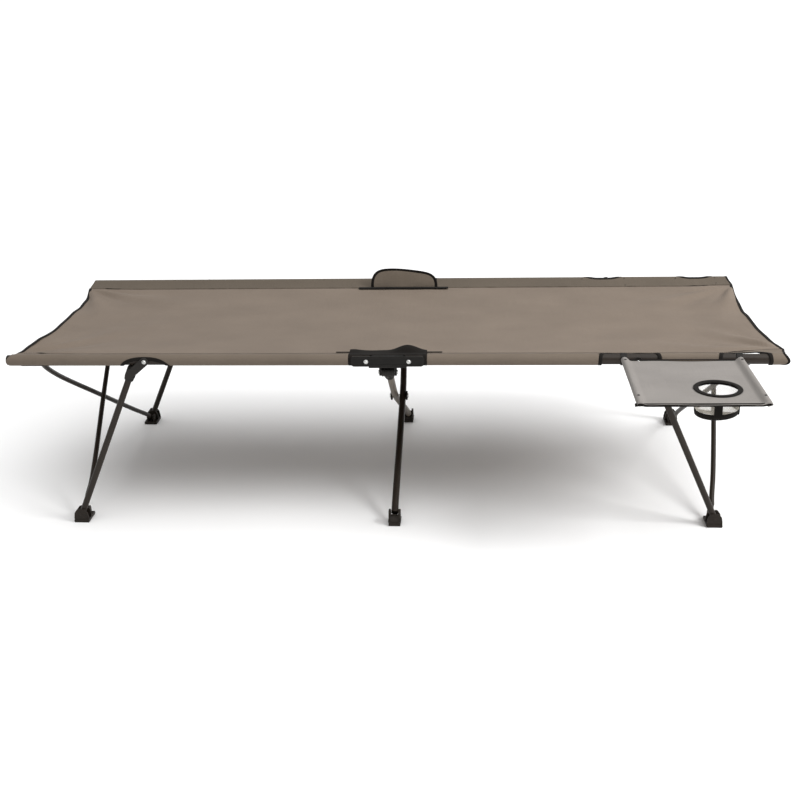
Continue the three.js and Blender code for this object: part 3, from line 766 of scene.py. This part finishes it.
def make_center_feet():
    for side, t in SIDES:
        x, y, body = CENTER_FOOT_X[side], rail_y(t), f"center_{side}_foot"
        cheek = mirrored(y, [(0.0145, 0.004), (0.0148, 0.026), (0.0115, 0.034), (0.006, 0.038)])
        sole = mirrored(y, [(0.0175, 0.0), (0.0190, 0.003), (0.0182, 0.009)])
        grooves = [box(x - 0.02, x + 0.02, y + dy - 0.0009, y + dy + 0.0009, -0.001, 0.0014)
                   for dy in (-0.011, -0.0037, 0.0037, 0.011)]
        walls = [box(x - 0.0105, x + 0.0105, *sorted((y + way * 0.0130, y + way * 0.0162)), 0.008, top)
                 for way, top in ((t, 0.027), (-t, 0.0165))]
        shape = fused([plate_x(sole, x - 0.015, x + 0.015), *walls,
                       *two_plates(plate_x, cheek, x, 0.0097, 0.015),
                       box(x - 0.0165, x + 0.0165, y - 0.0162, y + 0.0162, 0.0095, 0.0115)], grooves)
        plastic(f"center_{side}_shoe", shape, body, [body], 0.0012, FOOT_PLASTIC)
        solid(f"center_{side}_foot_rivet", pin(x, y, FOOT_Z, 0.0158, SHANK_R), body, "bolt_steel",
              TUBE, (), 0.0004)


def make_center_hinges():
    inner = RAIL_R + 0.0009  # the plates stand this far from the rail's axis
    low = RAIL_Z - 0.017
    for side, t in SIDES:
        y, body = rail_y(t), f"{side}_center_hinge"
        outline = rounded(-PLATE_HALF, PLATE_HALF, RAIL_Z - 0.0130, RAIL_Z + 0.0130, 0.0085)
        step = rounded(-0.040, 0.040, RAIL_Z - 0.0166, RAIL_Z + 0.0125, 0.003)
        cheek = rounded(-0.0090, 0.0090, CENTER_TOP_Z - 0.0085, low + 0.004, 0.0055)
        cheek = [(y + a, b) for a, b in cheek]
        lips = [plate_y(rounded(-PLATE_HALF + 0.004, PLATE_HALF - 0.004, z, z + 0.0022, 0.0010),
                        y + t * (inner + 0.002), y + t * (inner + 0.0036))
                for z in (RAIL_Z - 0.0112, RAIL_Z + 0.0090)]
        shape = fused([plate_y(outline, y - inner, y - inner - 0.0026),
                       plate_y(outline, y + inner, y + inner + 0.0026),
                       plate_y(step, y - inner - 0.001, y + inner + 0.001),
                       box(-0.046, 0.046, y - inner - 0.0012, y + inner + 0.0012, low,
                           RAIL_Z - RAIL_R - 0.0004),
                       *two_plates(plate_x, cheek, 0, 0.0160, 0.0212), *lips])
        plastic(f"{side}_hinge_bracket", shape, body, [body], 0.0009)
        head = [(0, 0.0214), (0.0060, 0.0214), (0.0060, 0.0226), (0.0042, 0.0240), (0, 0.0246)]
        steel(f"{side}_knuckle_pin", joined(both_ends(head, Vector((0, y, CENTER_TOP_Z))),
                                            pin(0, y, CENTER_TOP_Z, 0.0214, 0.0031)),
              body, [f"{side}_center_pin"])
        out = inner + 0.0036
        for end, s in ENDS:
            bolt(f"{side}_{end}_hinge_screw", s * HINGE_X, RAIL_Z, y + t * out, y - t * (out - 0.001),
                 body, [f"{side}_{end}_hinge_bolt"])


# ---- the bed's cloth ----
def seam_drop(name, x):
    """How far below the rail's axis a sleeve's seam lies. It rises at the cot's corners."""
    return SEAM_DROP - CORNER_LIFT[name] * ramp(abs(x), 0.80, 0.94)


def sleeve_section(share, drop):
    """A point and a normal on a sleeve's outline, from its seam over the rail and back under it.
    They are given as (inboard of the rail's axis, above it)."""
    reach = hypot(SEAM_IN, drop)
    aim = atan2(-drop, SEAM_IN)
    turn = acos(SLEEVE_R / reach)
    flank = reach * sin(turn)  # from the seam to the place where the cloth meets the rail
    arc = (2 * pi - 2 * turn) * SLEEVE_R
    run = share * (2 * flank + arc)
    if flank <= run <= flank + arc:
        angle = aim + turn + (run - flank) / SLEEVE_R
        return (SLEEVE_R * cos(angle), SLEEVE_R * sin(angle)), (cos(angle), sin(angle))
    sign, along = (1, run / flank) if run < flank else (-1, (2 * flank + arc - run) / flank)
    angle = aim + sign * turn
    c, s = cos(angle), sin(angle)
    a = SEAM_IN + (SLEEVE_R * c - SEAM_IN) * along
    b = -drop + (SLEEVE_R * s + drop) * along
    droop = -0.0012 * sin(pi * along)
    return (a + droop * c, b + droop * s), (c, s)


SLEEVE_LENGTH = 0.147  # round a sleeve, seam to seam
SLEEVE_MEET = 0.645  # share of that at the bottom of the rail, where the cut-outs close
# Cut-outs in a sleeve: from X to X, how far they reach up over the rail and back under it, and how
# square their corners are.
LEG_CRESCENT = (LEG_BOLT_X - 0.058, LEG_BOLT_X + 0.060, 0.455, 0.93, 2.2)
BRACE_NOTCH = (BRACE_RAIL_X - 0.032, BRACE_RAIL_X + 0.034, 0.62, 0.985, 4.0)
WINDOWS = {
    "near_left": (LEG_CRESCENT, BRACE_NOTCH),
    "far_left": (LEG_CRESCENT, BRACE_NOTCH),
    "near_right": ((0.511, 0.653, 0.150, 0.93, 3.4), (0.794, 0.914, 0.150, 0.985, 3.2)),
    "far_right": ((0.529, 0.649, 0.30, 0.93, 3.0), (0.802, 0.912, 0.30, 0.985, 3.0)),
}


def sleeve_pucker(x, y_sign, share):
    """Small folds that the sewing draws across a sleeve."""
    near_seam = exp(-(share / 0.16) ** 2) + exp(-((1 - share) / 0.16) ** 2)
    pull = 0.35 + 0.65 * uneven(x * 9, 3.1 * y_sign, 0)
    fine = uneven(x * 46, 7.7 * y_sign, share * 3)
    return 0.0011 * fine * (0.35 + near_seam) * (0.6 + abs(pull))


def sleeve_point(side, end, x, share):
    """A point and a normal on a sleeve, at X and at a share of the way round it from its seam."""
    t, s = dict(SIDES)[side], dict(ENDS)[end]
    (a, b), (na, nb) = sleeve_section(share, seam_drop(f"{side}_{end}", x))
    tight = ramp(abs(cos(pi * share)), 0.45, 0.8)
    d = sleeve_pucker(s * x, t, share) * (0.15 + 0.85 * tight)
    return (Vector((s * x, BED_Y + t * (RAIL_Y - (a + na * d)), RAIL_Z + (b + nb * d))),
            Vector((0, -t * na, nb)))


def sleeve_end(name, share):
    """How far a sleeve reaches at a place round it."""
    for (a, start), (b, stop) in zip(SLEEVE_END[name], SLEEVE_END[name][1:]):
        if share <= b:
            return start + (stop - start) * ramp(share, a, b)


def window_limits(window, x):
    """The shares between which a cut-out is open at x, or None."""
    x0, x1, top, bottom, square = window
    across = abs((x - (x0 + x1) / 2) / ((x1 - x0) / 2))
    if across >= 1:
        return None
    open_share = (1 - across ** square) ** (1 / square)
    return (SLEEVE_MEET + (top - SLEEVE_MEET) * open_share,
            SLEEVE_MEET + (bottom - SLEEVE_MEET) * open_share)


def window_walk(window, spacing=0.0025):
    """Places along a cut-out's upper edge, evenly spaced: X, and how far open it is there (0 to 1)."""
    x0, x1, top, _, square = window
    height = (SLEEVE_MEET - top) * SLEEVE_LENGTH
    fine = []
    for c, s in ((cos(a), sin(a)) for a in (pi * i / 720 for i in range(721))):
        fine.append(((x0 + x1) / 2 - (x1 - x0) / 2 * copysign(abs(c) ** (2 / square), c),
                     max(0.0, s) ** (2 / square)))
    found, since = [fine[0]], 0.0
    for a, b in zip(fine, fine[1:]):
        since += hypot(b[0] - a[0], (b[1] - a[1]) * height)
        if since >= spacing:
            found.append(b)
            since = 0.0
    return [*found[:-1], fine[-1]]


def window_loop(side, end, window):
    """Points and normals once round a cut-out."""
    upper, lower = [[sleeve_point(side, end, x, SLEEVE_MEET + (reach - SLEEVE_MEET) * open_share)
                     for x, open_share in window_walk(window)] for reach in window[2:4]]
    return upper + lower[-2:0:-1]


def sleeve_columns(name):
    """Places along a sleeve, close together at the corners of its cut-outs."""
    found = {SLEEVE_START}
    edges = [SLEEVE_START]
    for window in WINDOWS[name]:
        edges += window[:2]
        found.update(x for x, _ in window_walk(window))
    edges.append(1.0)
    for a, b in zip(edges[::2], edges[1::2]):
        count = max(2, round((b - a) / 0.007))
        found.update(a + (b - a) * i / count for i in range(count + 1))
    return sorted({round(x, 5) for x in found})


def make_sleeves():
    strip = 22  # rows of faces from a seam to the bottom of the rail
    for side, t, end, s, name in CORNERS:
        body = f"{name}_rail"
        rows, flat = [], []
        for x in sleeve_columns(name):
            low = high = SLEEVE_MEET
            for window in WINDOWS[name]:
                low, high = window_limits(window, x) or (low, high)
            shares = [low * i / strip for i in range(strip + 1)]
            shares += [high + (1 - high) * i / strip for i in range(strip + 1)]
            row, cut = [], []
            for share in shares:
                real = x
                if x > SHAPED_FROM:  # the last columns follow the shape of the sleeve's end
                    reach = sleeve_end(name, share) - SHAPED_FROM
                    real = SHAPED_FROM + (x - SHAPED_FROM) / SHAPED_LENGTH * reach
                row.append(sleeve_point(side, end, real, share)[0])
                cut.append((s * real, t * share * SLEEVE_LENGTH + t * 0.4))
            rows.append(row)
            flat.append(cut)
        # Each sleeve takes its side's painted-shade copy of the bed's cloth.
        sleeve = cloth(f"{name}_sleeve_cloth", rows, flat, body, "bed_fabric", SHADED_SLEEVE_CLOTH[side],
                       [f"{name}_sleeve"], hidden=lambda i, j: j == strip)
        trims = [tape(f"{name}_cutout_{number + 1}_binding", *zip(*window_loop(side, end, window)),
                      body, 0.0095, 0.0026, closed=True)
                 for number, window in enumerate(WINDOWS[name])]
        bound = [("inner", SLEEVE_START, 0.010)]
        if end == "right":
            bound.append(("outer", None, 0.0065))
        for label, reach, width in bound:
            loop = [sleeve_point(side, end, reach or sleeve_end(name, i / 48) - 0.002, i / 48)
                    for i in range(0 if reach is None else 1, 48)]
            trims.append(tape(f"{name}_sleeve_{label}_binding", *zip(*loop), body, width, 0.0022))
        length = sleeve_end(name, 0.5) - SLEEVE_START


def sling_edge(end, y):
    """How far the sling reaches at y, measured from the middle of the bed."""
    at_seam, middle = sleeve_end(f"{'far' if y > 0 else 'near'}_{end}", 0), SLING_MIDDLE[end]
    return middle + (at_seam - middle) * min(1.0, abs(y) / HALF_BED) ** 2.4


def sling_height(x, y):
    """The top of the bed's cloth: its sag, and the folds that run in from its corners and edges."""
    end = "right" if x > 0 else "left"
    edge = sling_edge(end, y)
    across = min(1.0, abs(y) / HALF_BED)
    near_drop, far_drop = [seam_drop(f"{side}_{end}", x) for side in ("near", "far")]
    share = (y / HALF_BED + 1) / 2
    drop = near_drop + (far_drop - near_drop) * min(1.0, max(0.0, share))
    z = RAIL_Z - drop - SLING_SAG * (1 - across ** 2)
    free = 1 - across ** 6
    for k, t in enumerate((-1, 1)):  # folds that fan out from both corners
        dx, dy = sling_edge(end, t * HALF_BED) - abs(x), HALF_BED - t * y
        reach, angle = hypot(dx, dy), atan2(dy, dx)
        seed = 3.7 * k + (11.3 if x > 0 else 0)
        wave = sin(9.5 * angle + seed + 1.1 * uneven(reach * 7, angle, seed))
        wave += 0.5 * sin(17 * angle + 2 * seed)
        z += 0.0100 * wave * exp(-reach / 0.16) * ramp(reach, 0.0, 0.07) * free
    pull = exp(-max(0.0, edge - abs(x)) / 0.045)
    z += (0.0034 if x < 0 else 0.0022) * pull * uneven(y * 17, x * 3, 5.0) * free
    wide = exp(-max(0.0, edge - abs(x)) / 0.16)
    z += 0.0085 * wide * uneven(y * 6.5, x * 4.5, 15.0) * free
    to_seam = HALF_BED - abs(y)
    z += 0.0009 * exp(-to_seam / 0.035) * uneven(x * 21, copysign(4, y), 1.0) * ramp(to_seam, 0, 0.012)
    z += 0.0022 * uneven(x * 2.6, y * 3.4, 2.0) * free
    return z + 0.0007 * uneven(x * 15, y * 2.0, 8.0) * free


def on_sling(obj):
    """Gives a piece of the sling a mesh of its own. The near seam is the side that stays with its rail.
    """
    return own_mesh(obj)


def sling_points(columns, rows=84):
    """A grid over the sling. Each column gives its X and height at y."""
    shares = [2 * j / rows - 1 for j in range(rows + 1)]
    ys = [HALF_BED * sin(pi / 2 * share) * 0.35 + HALF_BED * share * 0.65 for share in shares]
    points, flat = [], []
    for column in columns:
        line = [column(y) for y in ys]
        points.append([Vector((x, BED_Y + y, z)) for y, (x, z) in zip(ys, line)])
        flat.append([(x, y) for y, (x, _) in zip(ys, line)])
    return points, flat


def make_sling():
    for end, s in ENDS:
        body = f"near_{end}_rail"

        def tail(turn):
            """A column of the hem that bends down under the middle panel."""
            def place(y):
                lift = sling_height(s * HINGE_X, y) - RAIL_Z - 0.0016
                arm = max(lift, 0.0)
                return s * (HINGE_X - arm * sin(turn)), RAIL_Z + lift - arm * (1 - cos(turn))
            return place

        def body_column(share):
            def place(y):
                x = HINGE_X + (sling_edge(end, y) - HINGE_X) * share
                return s * x, sling_height(s * x, y)
            return place

        count = 122
        columns = [tail(radians(a)) for a in (38, 26, 13, 0)]
        columns += [body_column(i / count) for i in range(count + 1)]
        sling = cloth(f"sling_{end}_cloth", *sling_points(columns), body, "bed_fabric", BED_CLOTH,
                      [f"sling_{end}"], 0, lambda i, j: i == 3)
        on_sling(sling)
        line = [Vector((s * (sling_edge(end, y) - 0.003), BED_Y + y,
                        sling_height(s * sling_edge(end, y), y)))
                for y in (HALF_BED * (2 * j / 90 - 1) for j in range(91))]
        binding = tape(f"sling_{end}_end_binding", line, UP, body, 0.0085, 0.0032)
        on_sling(binding)

    def middle(share):
        def place(y):
            x = HINGE_X * (2 * share - 1)
            return x, sling_height(x, y)
        return place

    sling = cloth("sling_center_cloth", *sling_points([middle(i / 16) for i in range(17)]),
                  "near_center_hinge", "bed_fabric", BED_CLOTH, ["sling_center"], 0)
    on_sling(sling)


def make_stitches(side, t, end, s):
    """Two rows of stitches, one on the bed and one on the sleeve, at both sides of a seam."""
    name, shapes = f"{side}_{end}", []
    for row in (SEAM_ROW, -SEAM_ROW):
        x = SLEEVE_START + (0.012 if row < 0 else 0.010)
        while x < sleeve_end(name, 0) - 0.008:
            y = t * (HALF_BED + row)
            if row < 0:
                z = sling_height(s * x, y) + 0.0007
            else:
                z = sleeve_point(side, end, x, SEAM_ROW / SLEEVE_LENGTH)[0].z + 0.0009
            shapes.append(stitch(Vector((s * x, BED_Y + y, z)), Vector((s, 0, 0))))
            x += STITCH_PITCH
    thread = solid(f"{name}_seam_stitches", joined(*shapes), f"{name}_rail", "bed_fabric", THREAD)
    uv_by_place(thread)


def make_seams():
    """The stitches of each seam, and the tape sewn over it at the centre hinge."""
    tape_sizes = {"near": (0.0045, 0.0022, 0.004), "far": (0.0170, 0.0026, 0.007)}
    steps = 12
    for side, t in SIDES:
        for end, s in ENDS:
            make_stitches(side, t, end, s)
        width, lift, back = tape_sizes[side]
        for label, body, x0, x1 in (("left", f"{side}_left_rail", -0.133, -HINGE_X),
                                    ("middle", f"{side}_center_hinge", -HINGE_X, HINGE_X),
                                    ("right", f"{side}_right_rail", HINGE_X, 0.131)):
            line = [Vector((x, BED_Y + t * HALF_BED - t * back, sling_height(x, t * HALF_BED) + lift))
                    for x in (x0 + (x1 - x0) * i / steps for i in range(steps + 1))]
            tape(f"{side}_hinge_tape_{label}", line, UP, body, width, 0.0022)


def stitch(middle, along, length=0.0031, radius=0.00042):
    side = along.cross(UP).normalized()
    rings = []
    for share, size, lift in ((-0.5, 0.25, -0.7), (-0.3, 0.85, -0.1), (0, 1, 0.25), (0.3, 0.85, -0.1),
                              (0.5, 0.25, -0.7)):
        centre = middle + along * share * length + UP * lift * radius
        rings.append([centre + size * radius * (side * cos(a) + UP * sin(a))
                      for a in STITCH_ANGLES])
    return loft(rings)


def uv_by_place(obj):
    """Gives a small piece a cloth map straight from its place."""
    places = [(v.co.x + v.co.z, v.co.y + v.co.z) for v in obj.data.vertices]
    map_cloth(obj.data, lambda i: places[i])


# ---- flaps at the centre hinges ----
def make_far_flap():
    """The far flap stands up. Its outline is fuller on the left than on the right."""
    left, right, tall, short = -0.0935, 0.0955, 0.0525, 0.0415
    foot_z = RAIL_Z - SEAM_DROP + 0.001

    def crest(share):
        """Height of the flap's edge, from its left end to its right."""
        rise = tall + (short - tall) * ramp(share, 0.3, 1.0)
        return rise * (1 - abs(2 * share - 1) ** 5.5) ** (1 / 2.8)

    columns, rows = 48, 16

    def place(i, j):
        share = 0.5 - 0.5 * cos(pi * i / columns)
        x, up = left + (right - left) * share, crest(share) * j / rows
        lean = 0.010 * (up / tall) ** 1.4 + 0.0022 * uneven(x * 17, up * 25, 3.3)
        return Vector((x, BED_Y + HALF_BED + 0.001 + lean, foot_z + up)), (x, up + 0.7)

    points, flat = grid(columns, rows, place)
    body = "far_center_hinge"
    flap = cloth("far_flap_cloth", points, flat, body, "bed_fabric", SHADED_FLAP_CLOTH, ["far_hinge_flap"])
    below = Vector((0, 0, -0.001))
    rim = [points[0][0] + below, *(line[-1] for line in points), points[-1][0] + below]
    binding = tape("far_flap_binding", rim, Vector((0, -1, 0)), body, 0.0085, 0.0028)


def make_near_flap():
    """The near flap lies over its hinge, tucked behind the outer plate, and humps up on the right."""
    x0, x1, columns, rows = -0.0945, 0.0945, 56, 18
    foot = RAIL_Z - SEAM_DROP + 0.002

    def place(i, j):
        x, share = x0 + (x1 - x0) * i / columns, j / rows
        hump = 0.0145 * exp(-((x - 0.047) / 0.030) ** 2)
        hump += 0.003 * exp(-((x + 0.085) / 0.02) ** 2)
        y = -HALF_BED - 0.002 - 0.0495 * share
        top = RAIL_Z + 0.0140 - 0.0015 * share
        z = foot + (top - RAIL_Z + SEAM_DROP - 0.002) * ramp(share, 0.0, 0.42)
        z += hump * sin(pi * min(1.0, share * 1.35)) ** 0.8 if share * 1.35 < 1 else 0
        z += 0.0008 * uneven(x * 40, y * 40, 9.0)
        return Vector((x, BED_Y + y, z)), (x, y)

    points, flat = grid(columns, rows, place)
    body = "near_center_hinge"
    # The flap takes the black binding tape's colour: partly its real black binding, partly painted shade
    # over the hinge, where the fabric itself is brown.
    cover = cloth("near_flap_cloth", points, flat, body, "binding_tape", TAPE, ["near_hinge_flap"],
                  0.0014)
    binding = tape("near_flap_binding", [line[-1] for line in points], UP, body, 0.006, 0.0020)


# ---- side table ----
def make_table():
    body = "side_table"
    left_low, left_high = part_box("table_left_tube")
    right_low, right_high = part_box("table_right_tube")
    z = (left_low.z + left_high.z) / 2
    x_left, x_right = (left_low.x + left_high.x) / 2, (right_low.x + right_high.x) / 2
    y_front, y_pivot, y_rail = left_low.y, pivot["table_flip"].y, rail_y(-1)
    for end, x in (("left", x_left), ("right", x_right)):
        outline = stadium((y_pivot, z), (y_pivot - 0.018, z), 0.0056, 0.0056)
        shape = joined(rod((x, y_pivot - 0.012, z), (x, y_front + 0.008, z), TABLE_R),
                       *two_plates(plate_x, outline, x, 0.0033, 0.0058),
                       pin(x, y_pivot, z, 0.0070, 0.0028))
        bar(f"table_{end}_bar", shape, body, [f"table_{end}_tube"], 0.0004)
        inner, outer, wide = RAIL_R + 0.0006, RAIL_R + 0.0027, 0.0070
        hook = lathe([(inner, -wide), (outer, -wide), (outer, wide), (inner, wide)],
                     (x, y_rail, RAIL_Z), (1, 0, 0), 48, closed=True)
        tongue = plate_x(stadium((y_pivot, z), (y_rail - 0.0155, z), 0.0054, 0.0056),
                         x - 0.003, x + 0.003)
        opening = box(x - 0.02, x + 0.02, y_rail + 0.007, y_rail + 0.04, RAIL_Z - 0.03, RAIL_Z + 0.03)
        plastic(f"table_{end}_clip", fused([hook, tongue], [opening]), "near_right_rail",
                [f"table_{end}_hook"], 0.0006)
    low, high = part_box("table_front_bar")
    below = 0.0032  # the cloth sags to the bar's top, so it sits lower by this
    section = rounded(low.y, high.y, low.z - below, high.z - below, 0.0015)
    bar("table_cross_bar", plate_x(section, low.x, high.x), body, ["table_front_bar"], 0.0003)
    make_table_cloth(body, x_left, x_right, y_front, y_pivot, z)


def table_section(x_left, x_right, z):
    """The section of the table's cloth: under the left tube, round it, over the panel and round the
    right tube."""
    half = [(TABLE_WRAP * cos(radians(a)), TABLE_WRAP * sin(radians(a))) for a in range(-80, -271, -10)]
    half += [(0.0040, TABLE_WRAP * 0.86), (0.0072, TABLE_WRAP * 0.48), (0.0105, 0.0008),
             (0.0140, -0.0014)]
    start, stop, count = x_left + 0.0175, x_right - 0.0175, 64
    panel = [(start + (stop - start) * i / count, z - 0.0018) for i in range(count + 1)]
    return [*((x_left + dx, z + dz) for dx, dz in half), *panel,
            *((x_right - dx, z + dz) for dx, dz in reversed(half))]


def make_table_cloth(body, x_left, x_right, y_front, y_pivot, z):
    ring_low, ring_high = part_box("cup_ring")
    cup = (ring_low + ring_high) / 2
    hole, calm = 0.0465, 0.0800  # the cup hole, and how far round it the cloth lies flatter
    section = table_section(x_left, x_right, z)
    run = [0.0]
    for a, b in zip(section, section[1:]):
        run.append(run[-1] + dist(a, b))
    back, front, rows = y_pivot + 0.006, y_front - 0.0005, 72

    def place(i, j):
        (x, height), y = section[i], back + (front - back) * j / rows
        on_panel = ramp(x, x_left + 0.012, x_left + 0.05) * ramp(-x, -x_right + 0.012, -x_right + 0.05)
        from_cup = hypot(x - cup.x, y - cup.y)
        sag = -0.0028 * on_panel * sin(pi * j / rows) * ramp(from_cup, 0.045, 0.10)
        ripple = 0.0030 * uneven(x * 9, y * 12, 4.0) * on_panel
        ripple += 0.0009 * uneven(x * 12, y * 45, 6.0) * on_panel
        px, py = x, y
        if on_panel > 0 and from_cup < calm:
            if from_cup < hole:
                scale = hole / max(from_cup, 1e-6)
                px, py = cup.x + (x - cup.x) * scale, cup.y + (y - cup.y) * scale
            blend = ramp(from_cup, hole, calm)
            sag *= blend
            ripple *= blend
        pinch = 1 - 0.62 * ramp(front - y, -0.0075, 0.0)  # the pockets are sewn flat at the front
        return Vector((px, py, z + (height - z) * pinch + sag + ripple)), (run[i], y)

    points, flat = grid(len(section) - 1, rows, place)

    def in_hole(i, j):
        corners = (points[i][j], points[i + 1][j], points[i][j + 1], points[i + 1][j + 1])
        return all(hypot(p.x - cup.x, p.y - cup.y) < hole + 1e-5 for p in corners)

    top = cloth("table_cloth", points, flat, body, "table_fabric", TABLE_CLOTH, ["table_top"],
                hidden=in_hole)
    ring = [Vector((cup.x + 0.0480 * c, cup.y + 0.0480 * s, z + 0.0004)) for c, s in circle(96)]
    trims = [tape("cup_ring_binding", ring, UP, body, 0.0120, 0.0026, closed=True)]
    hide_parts("cup_ring")
    hem = []
    for i in range(81):
        x = x_left - 0.012 + (x_right - x_left + 0.017) * i / 80
        bulge = max(exp(-((x - middle) / 0.009) ** 4) for middle in (x_left, x_right))
        hem.append(Vector((x, front + 0.0012 + 0.0030 * i / 80, z - 0.0020 + 0.0014 * bulge)))
    trims.append(tape("table_front_hem", hem, Vector((0, -1, 0.25)).normalized(), body, 0.0078, 0.0030))
    hem = [Vector((x_left + TABLE_WRAP + 0.004 + (x_right - x_left - 2 * TABLE_WRAP - 0.008) * i / 40,
                   back - 0.001, z + 0.0006)) for i in range(41)]
    trims.append(tape("table_back_hem", hem, UP, body, 0.0040, 0.0026))
    head = [(0, 0), (0.0030, 0), (0.0027, 0.0008), (0.0015, 0.0013), (0, 0.0015)]
    for end, x in (("left", x_left), ("right", x_right)):
        for place, y in (("front", y_front + 0.036), ("back", y_pivot - 0.0125)):
            plastic(f"table_{end}_{place}_screw", lathe(head, (x, y, z + TABLE_WRAP + 0.0004), UP),
                    body, (), 0.0)
    make_basket(body, cup, z)


def make_net(body, cup, z, depth, wall):
    """The basket's net: slanting threads round its wall and crossing threads under it."""
    around, up, foot = 84, 13, 0.012
    net = []
    for j in range(up + 1):
        share = j / up
        radius = wall - 0.0008 * share ** 3 + 0.0012 * sin(pi * j / up)
        height = -0.002 - (depth - foot - 0.001) * share
        angles = [2 * pi * (i + 0.5 * (j % 2)) / around for i in range(around)]
        net.append([Vector((cup.x + radius * cos(a), cup.y + radius * sin(a), z + height))
                    for a in angles])
    threads = []
    for j in range(up):
        step = -1 if j % 2 == 0 else 1
        for i in range(around):
            threads += [(net[j][i], net[j + 1][i]), (net[j][i], net[j + 1][(i + step) % around])]
    pitch = 0.0042
    count = int(wall / pitch)
    for k in range(-count, count + 1):
        reach = sqrt(max(0.0, (wall - 0.003) ** 2 - (k * pitch) ** 2))
        cuts = max(1, round(reach / 0.006))
        for slope in (1, -1):
            line = []
            for i in range(-cuts, cuts + 1):
                u, v = reach * i / cuts, k * pitch
                x, y = (u + v * slope) * 0.7071, (v - u * slope) * 0.7071
                sag = 0.004 * (1 - (x * x + y * y) / wall ** 2)
                line.append(Vector((cup.x + x, cup.y + y, z - depth + 0.001 + 0.0045 - sag)))
            threads += list(zip(line, line[1:]))
    shapes = [tube([a, b], 0.00034, 5) for a, b in threads]
    basket = solid("cup_basket_net", joined(*shapes), body, "cup_mesh", NET, ["cup_basket"], sharp=60)
    uv_by_place(basket)


def make_basket(body, cup, z):
    """The cup basket: an open net with a bound rim, a band round its foot, and two straps under it."""
    depth, wall = 0.057, 0.0485
    make_net(body, cup, z, depth, wall)
    for place, radius, height, width, lean, tilt in (
            ("foot", wall - 0.0010, -depth + 0.0065, 0.0135, -0.12, 0.0035),
            ("rim", wall + 0.0002, -0.0050, 0.0060, 0.0, 0)):
        line = [Vector((cup.x + radius * c, cup.y + radius * s, z + height + tilt * c))
                for c, s in circle(72)]
        outwards = [Vector((c, s, lean)).normalized() for c, s in circle(72)]
        tape(f"cup_basket_{place}_band", line, outwards, body, width, 0.0028, closed=True)
    r = wall + 0.0004
    for place, turn in (("front", radians(-97)), ("side", radians(-14))):
        direction = Vector((cos(turn), sin(turn), 0))
        line = [Vector((cup.x, cup.y, z - 0.004)) + direction * r
                + Vector((0, 0, -(depth - 0.008) * share)) for share in (i / 10 for i in range(11))]
        normals = [direction] * len(line)
        for i in range(1, 20):
            across = 1 - 2 * i / 20
            line.append(Vector((cup.x, cup.y, z - depth - 0.0008 + 0.004 * abs(across) ** 6))
                        + direction * (r - 0.002) * across)
            normals.append((-UP + direction * across ** 7).normalized())
        tape(f"cup_basket_strap_{place}", line, normals, body, 0.0180, 0.0030)


# ---- stage ----
def make_stage():
    bpy.ops.mesh.primitive_plane_add(size=160, location=(0, 30, 0))
    floor = bpy.context.object
    floor.name = "floor"
    floor.data.materials.append(plain_floor("floor_look", (0.9, 0.9, 0.9)))
    scene = bpy.context.scene
    scene.world = bpy.data.worlds.new("studio")
    scene.world.use_nodes = True
    backdrop = scene.world.node_tree.nodes["Background"].inputs
    backdrop["Color"].default_value = (1, 1, 1, 1)
    backdrop["Strength"].default_value = 0.52
    for name, kind, place, aim, spread, power in (
            ("canopy", "SUN", (0.9, -0.2, 4.0), (0.2, 0.15, 0.0), 1.25, 2.2),
            ("key", "AREA", (3.2, -1.2, 2.7), (0.4, 0.15, 0.4), 1.6, 115)):
        light = bpy.data.lights.new(name, kind)
        if kind == "SUN":
            light.angle = spread
        else:
            light.shape, light.size = "DISK", spread
        light.energy = power
        lamp = bpy.data.objects.new(name, light)
        collection.objects.link(lamp)
        lamp.location = place
        lamp.rotation_euler = (Vector(aim) - Vector(place)).to_track_quat("-Z", "Y").to_euler()
    scene.view_settings.view_transform = "Standard"
    scene.view_settings.look = "None"


def make_camera():
    """A camera before the table side, a little right of the middle, looking down."""
    yaw, pitch, roll = -0.0729, 0.36965, -0.02542
    forward = Vector((sin(yaw) * cos(pitch), cos(yaw) * cos(pitch), -sin(pitch)))
    right = Vector((cos(yaw), -sin(yaw), 0))
    up = right.cross(forward)
    across = right * cos(roll) + up * sin(roll)
    top = up * cos(roll) - right * sin(roll)
    data = bpy.data.cameras.new("camera")
    data.sensor_width = 36
    data.lens = 51.01
    camera = bpy.data.objects.new("camera", data)
    collection.objects.link(camera)
    camera.matrix_world = Matrix((across, top, -forward)).transposed().to_4x4()
    camera.location = (0.21724, BED_Y - 2.95135, 1.3508)
    bpy.context.scene.camera = camera


make_camera()
make_stage()
make_rails()
make_end_legs()
make_end_feet()
make_braces()
make_center_legs()
make_center_knuckles()
make_center_feet()
make_center_hinges()
make_sleeves()
make_sling()
make_seams()
make_far_flap()
make_near_flap()
make_table()
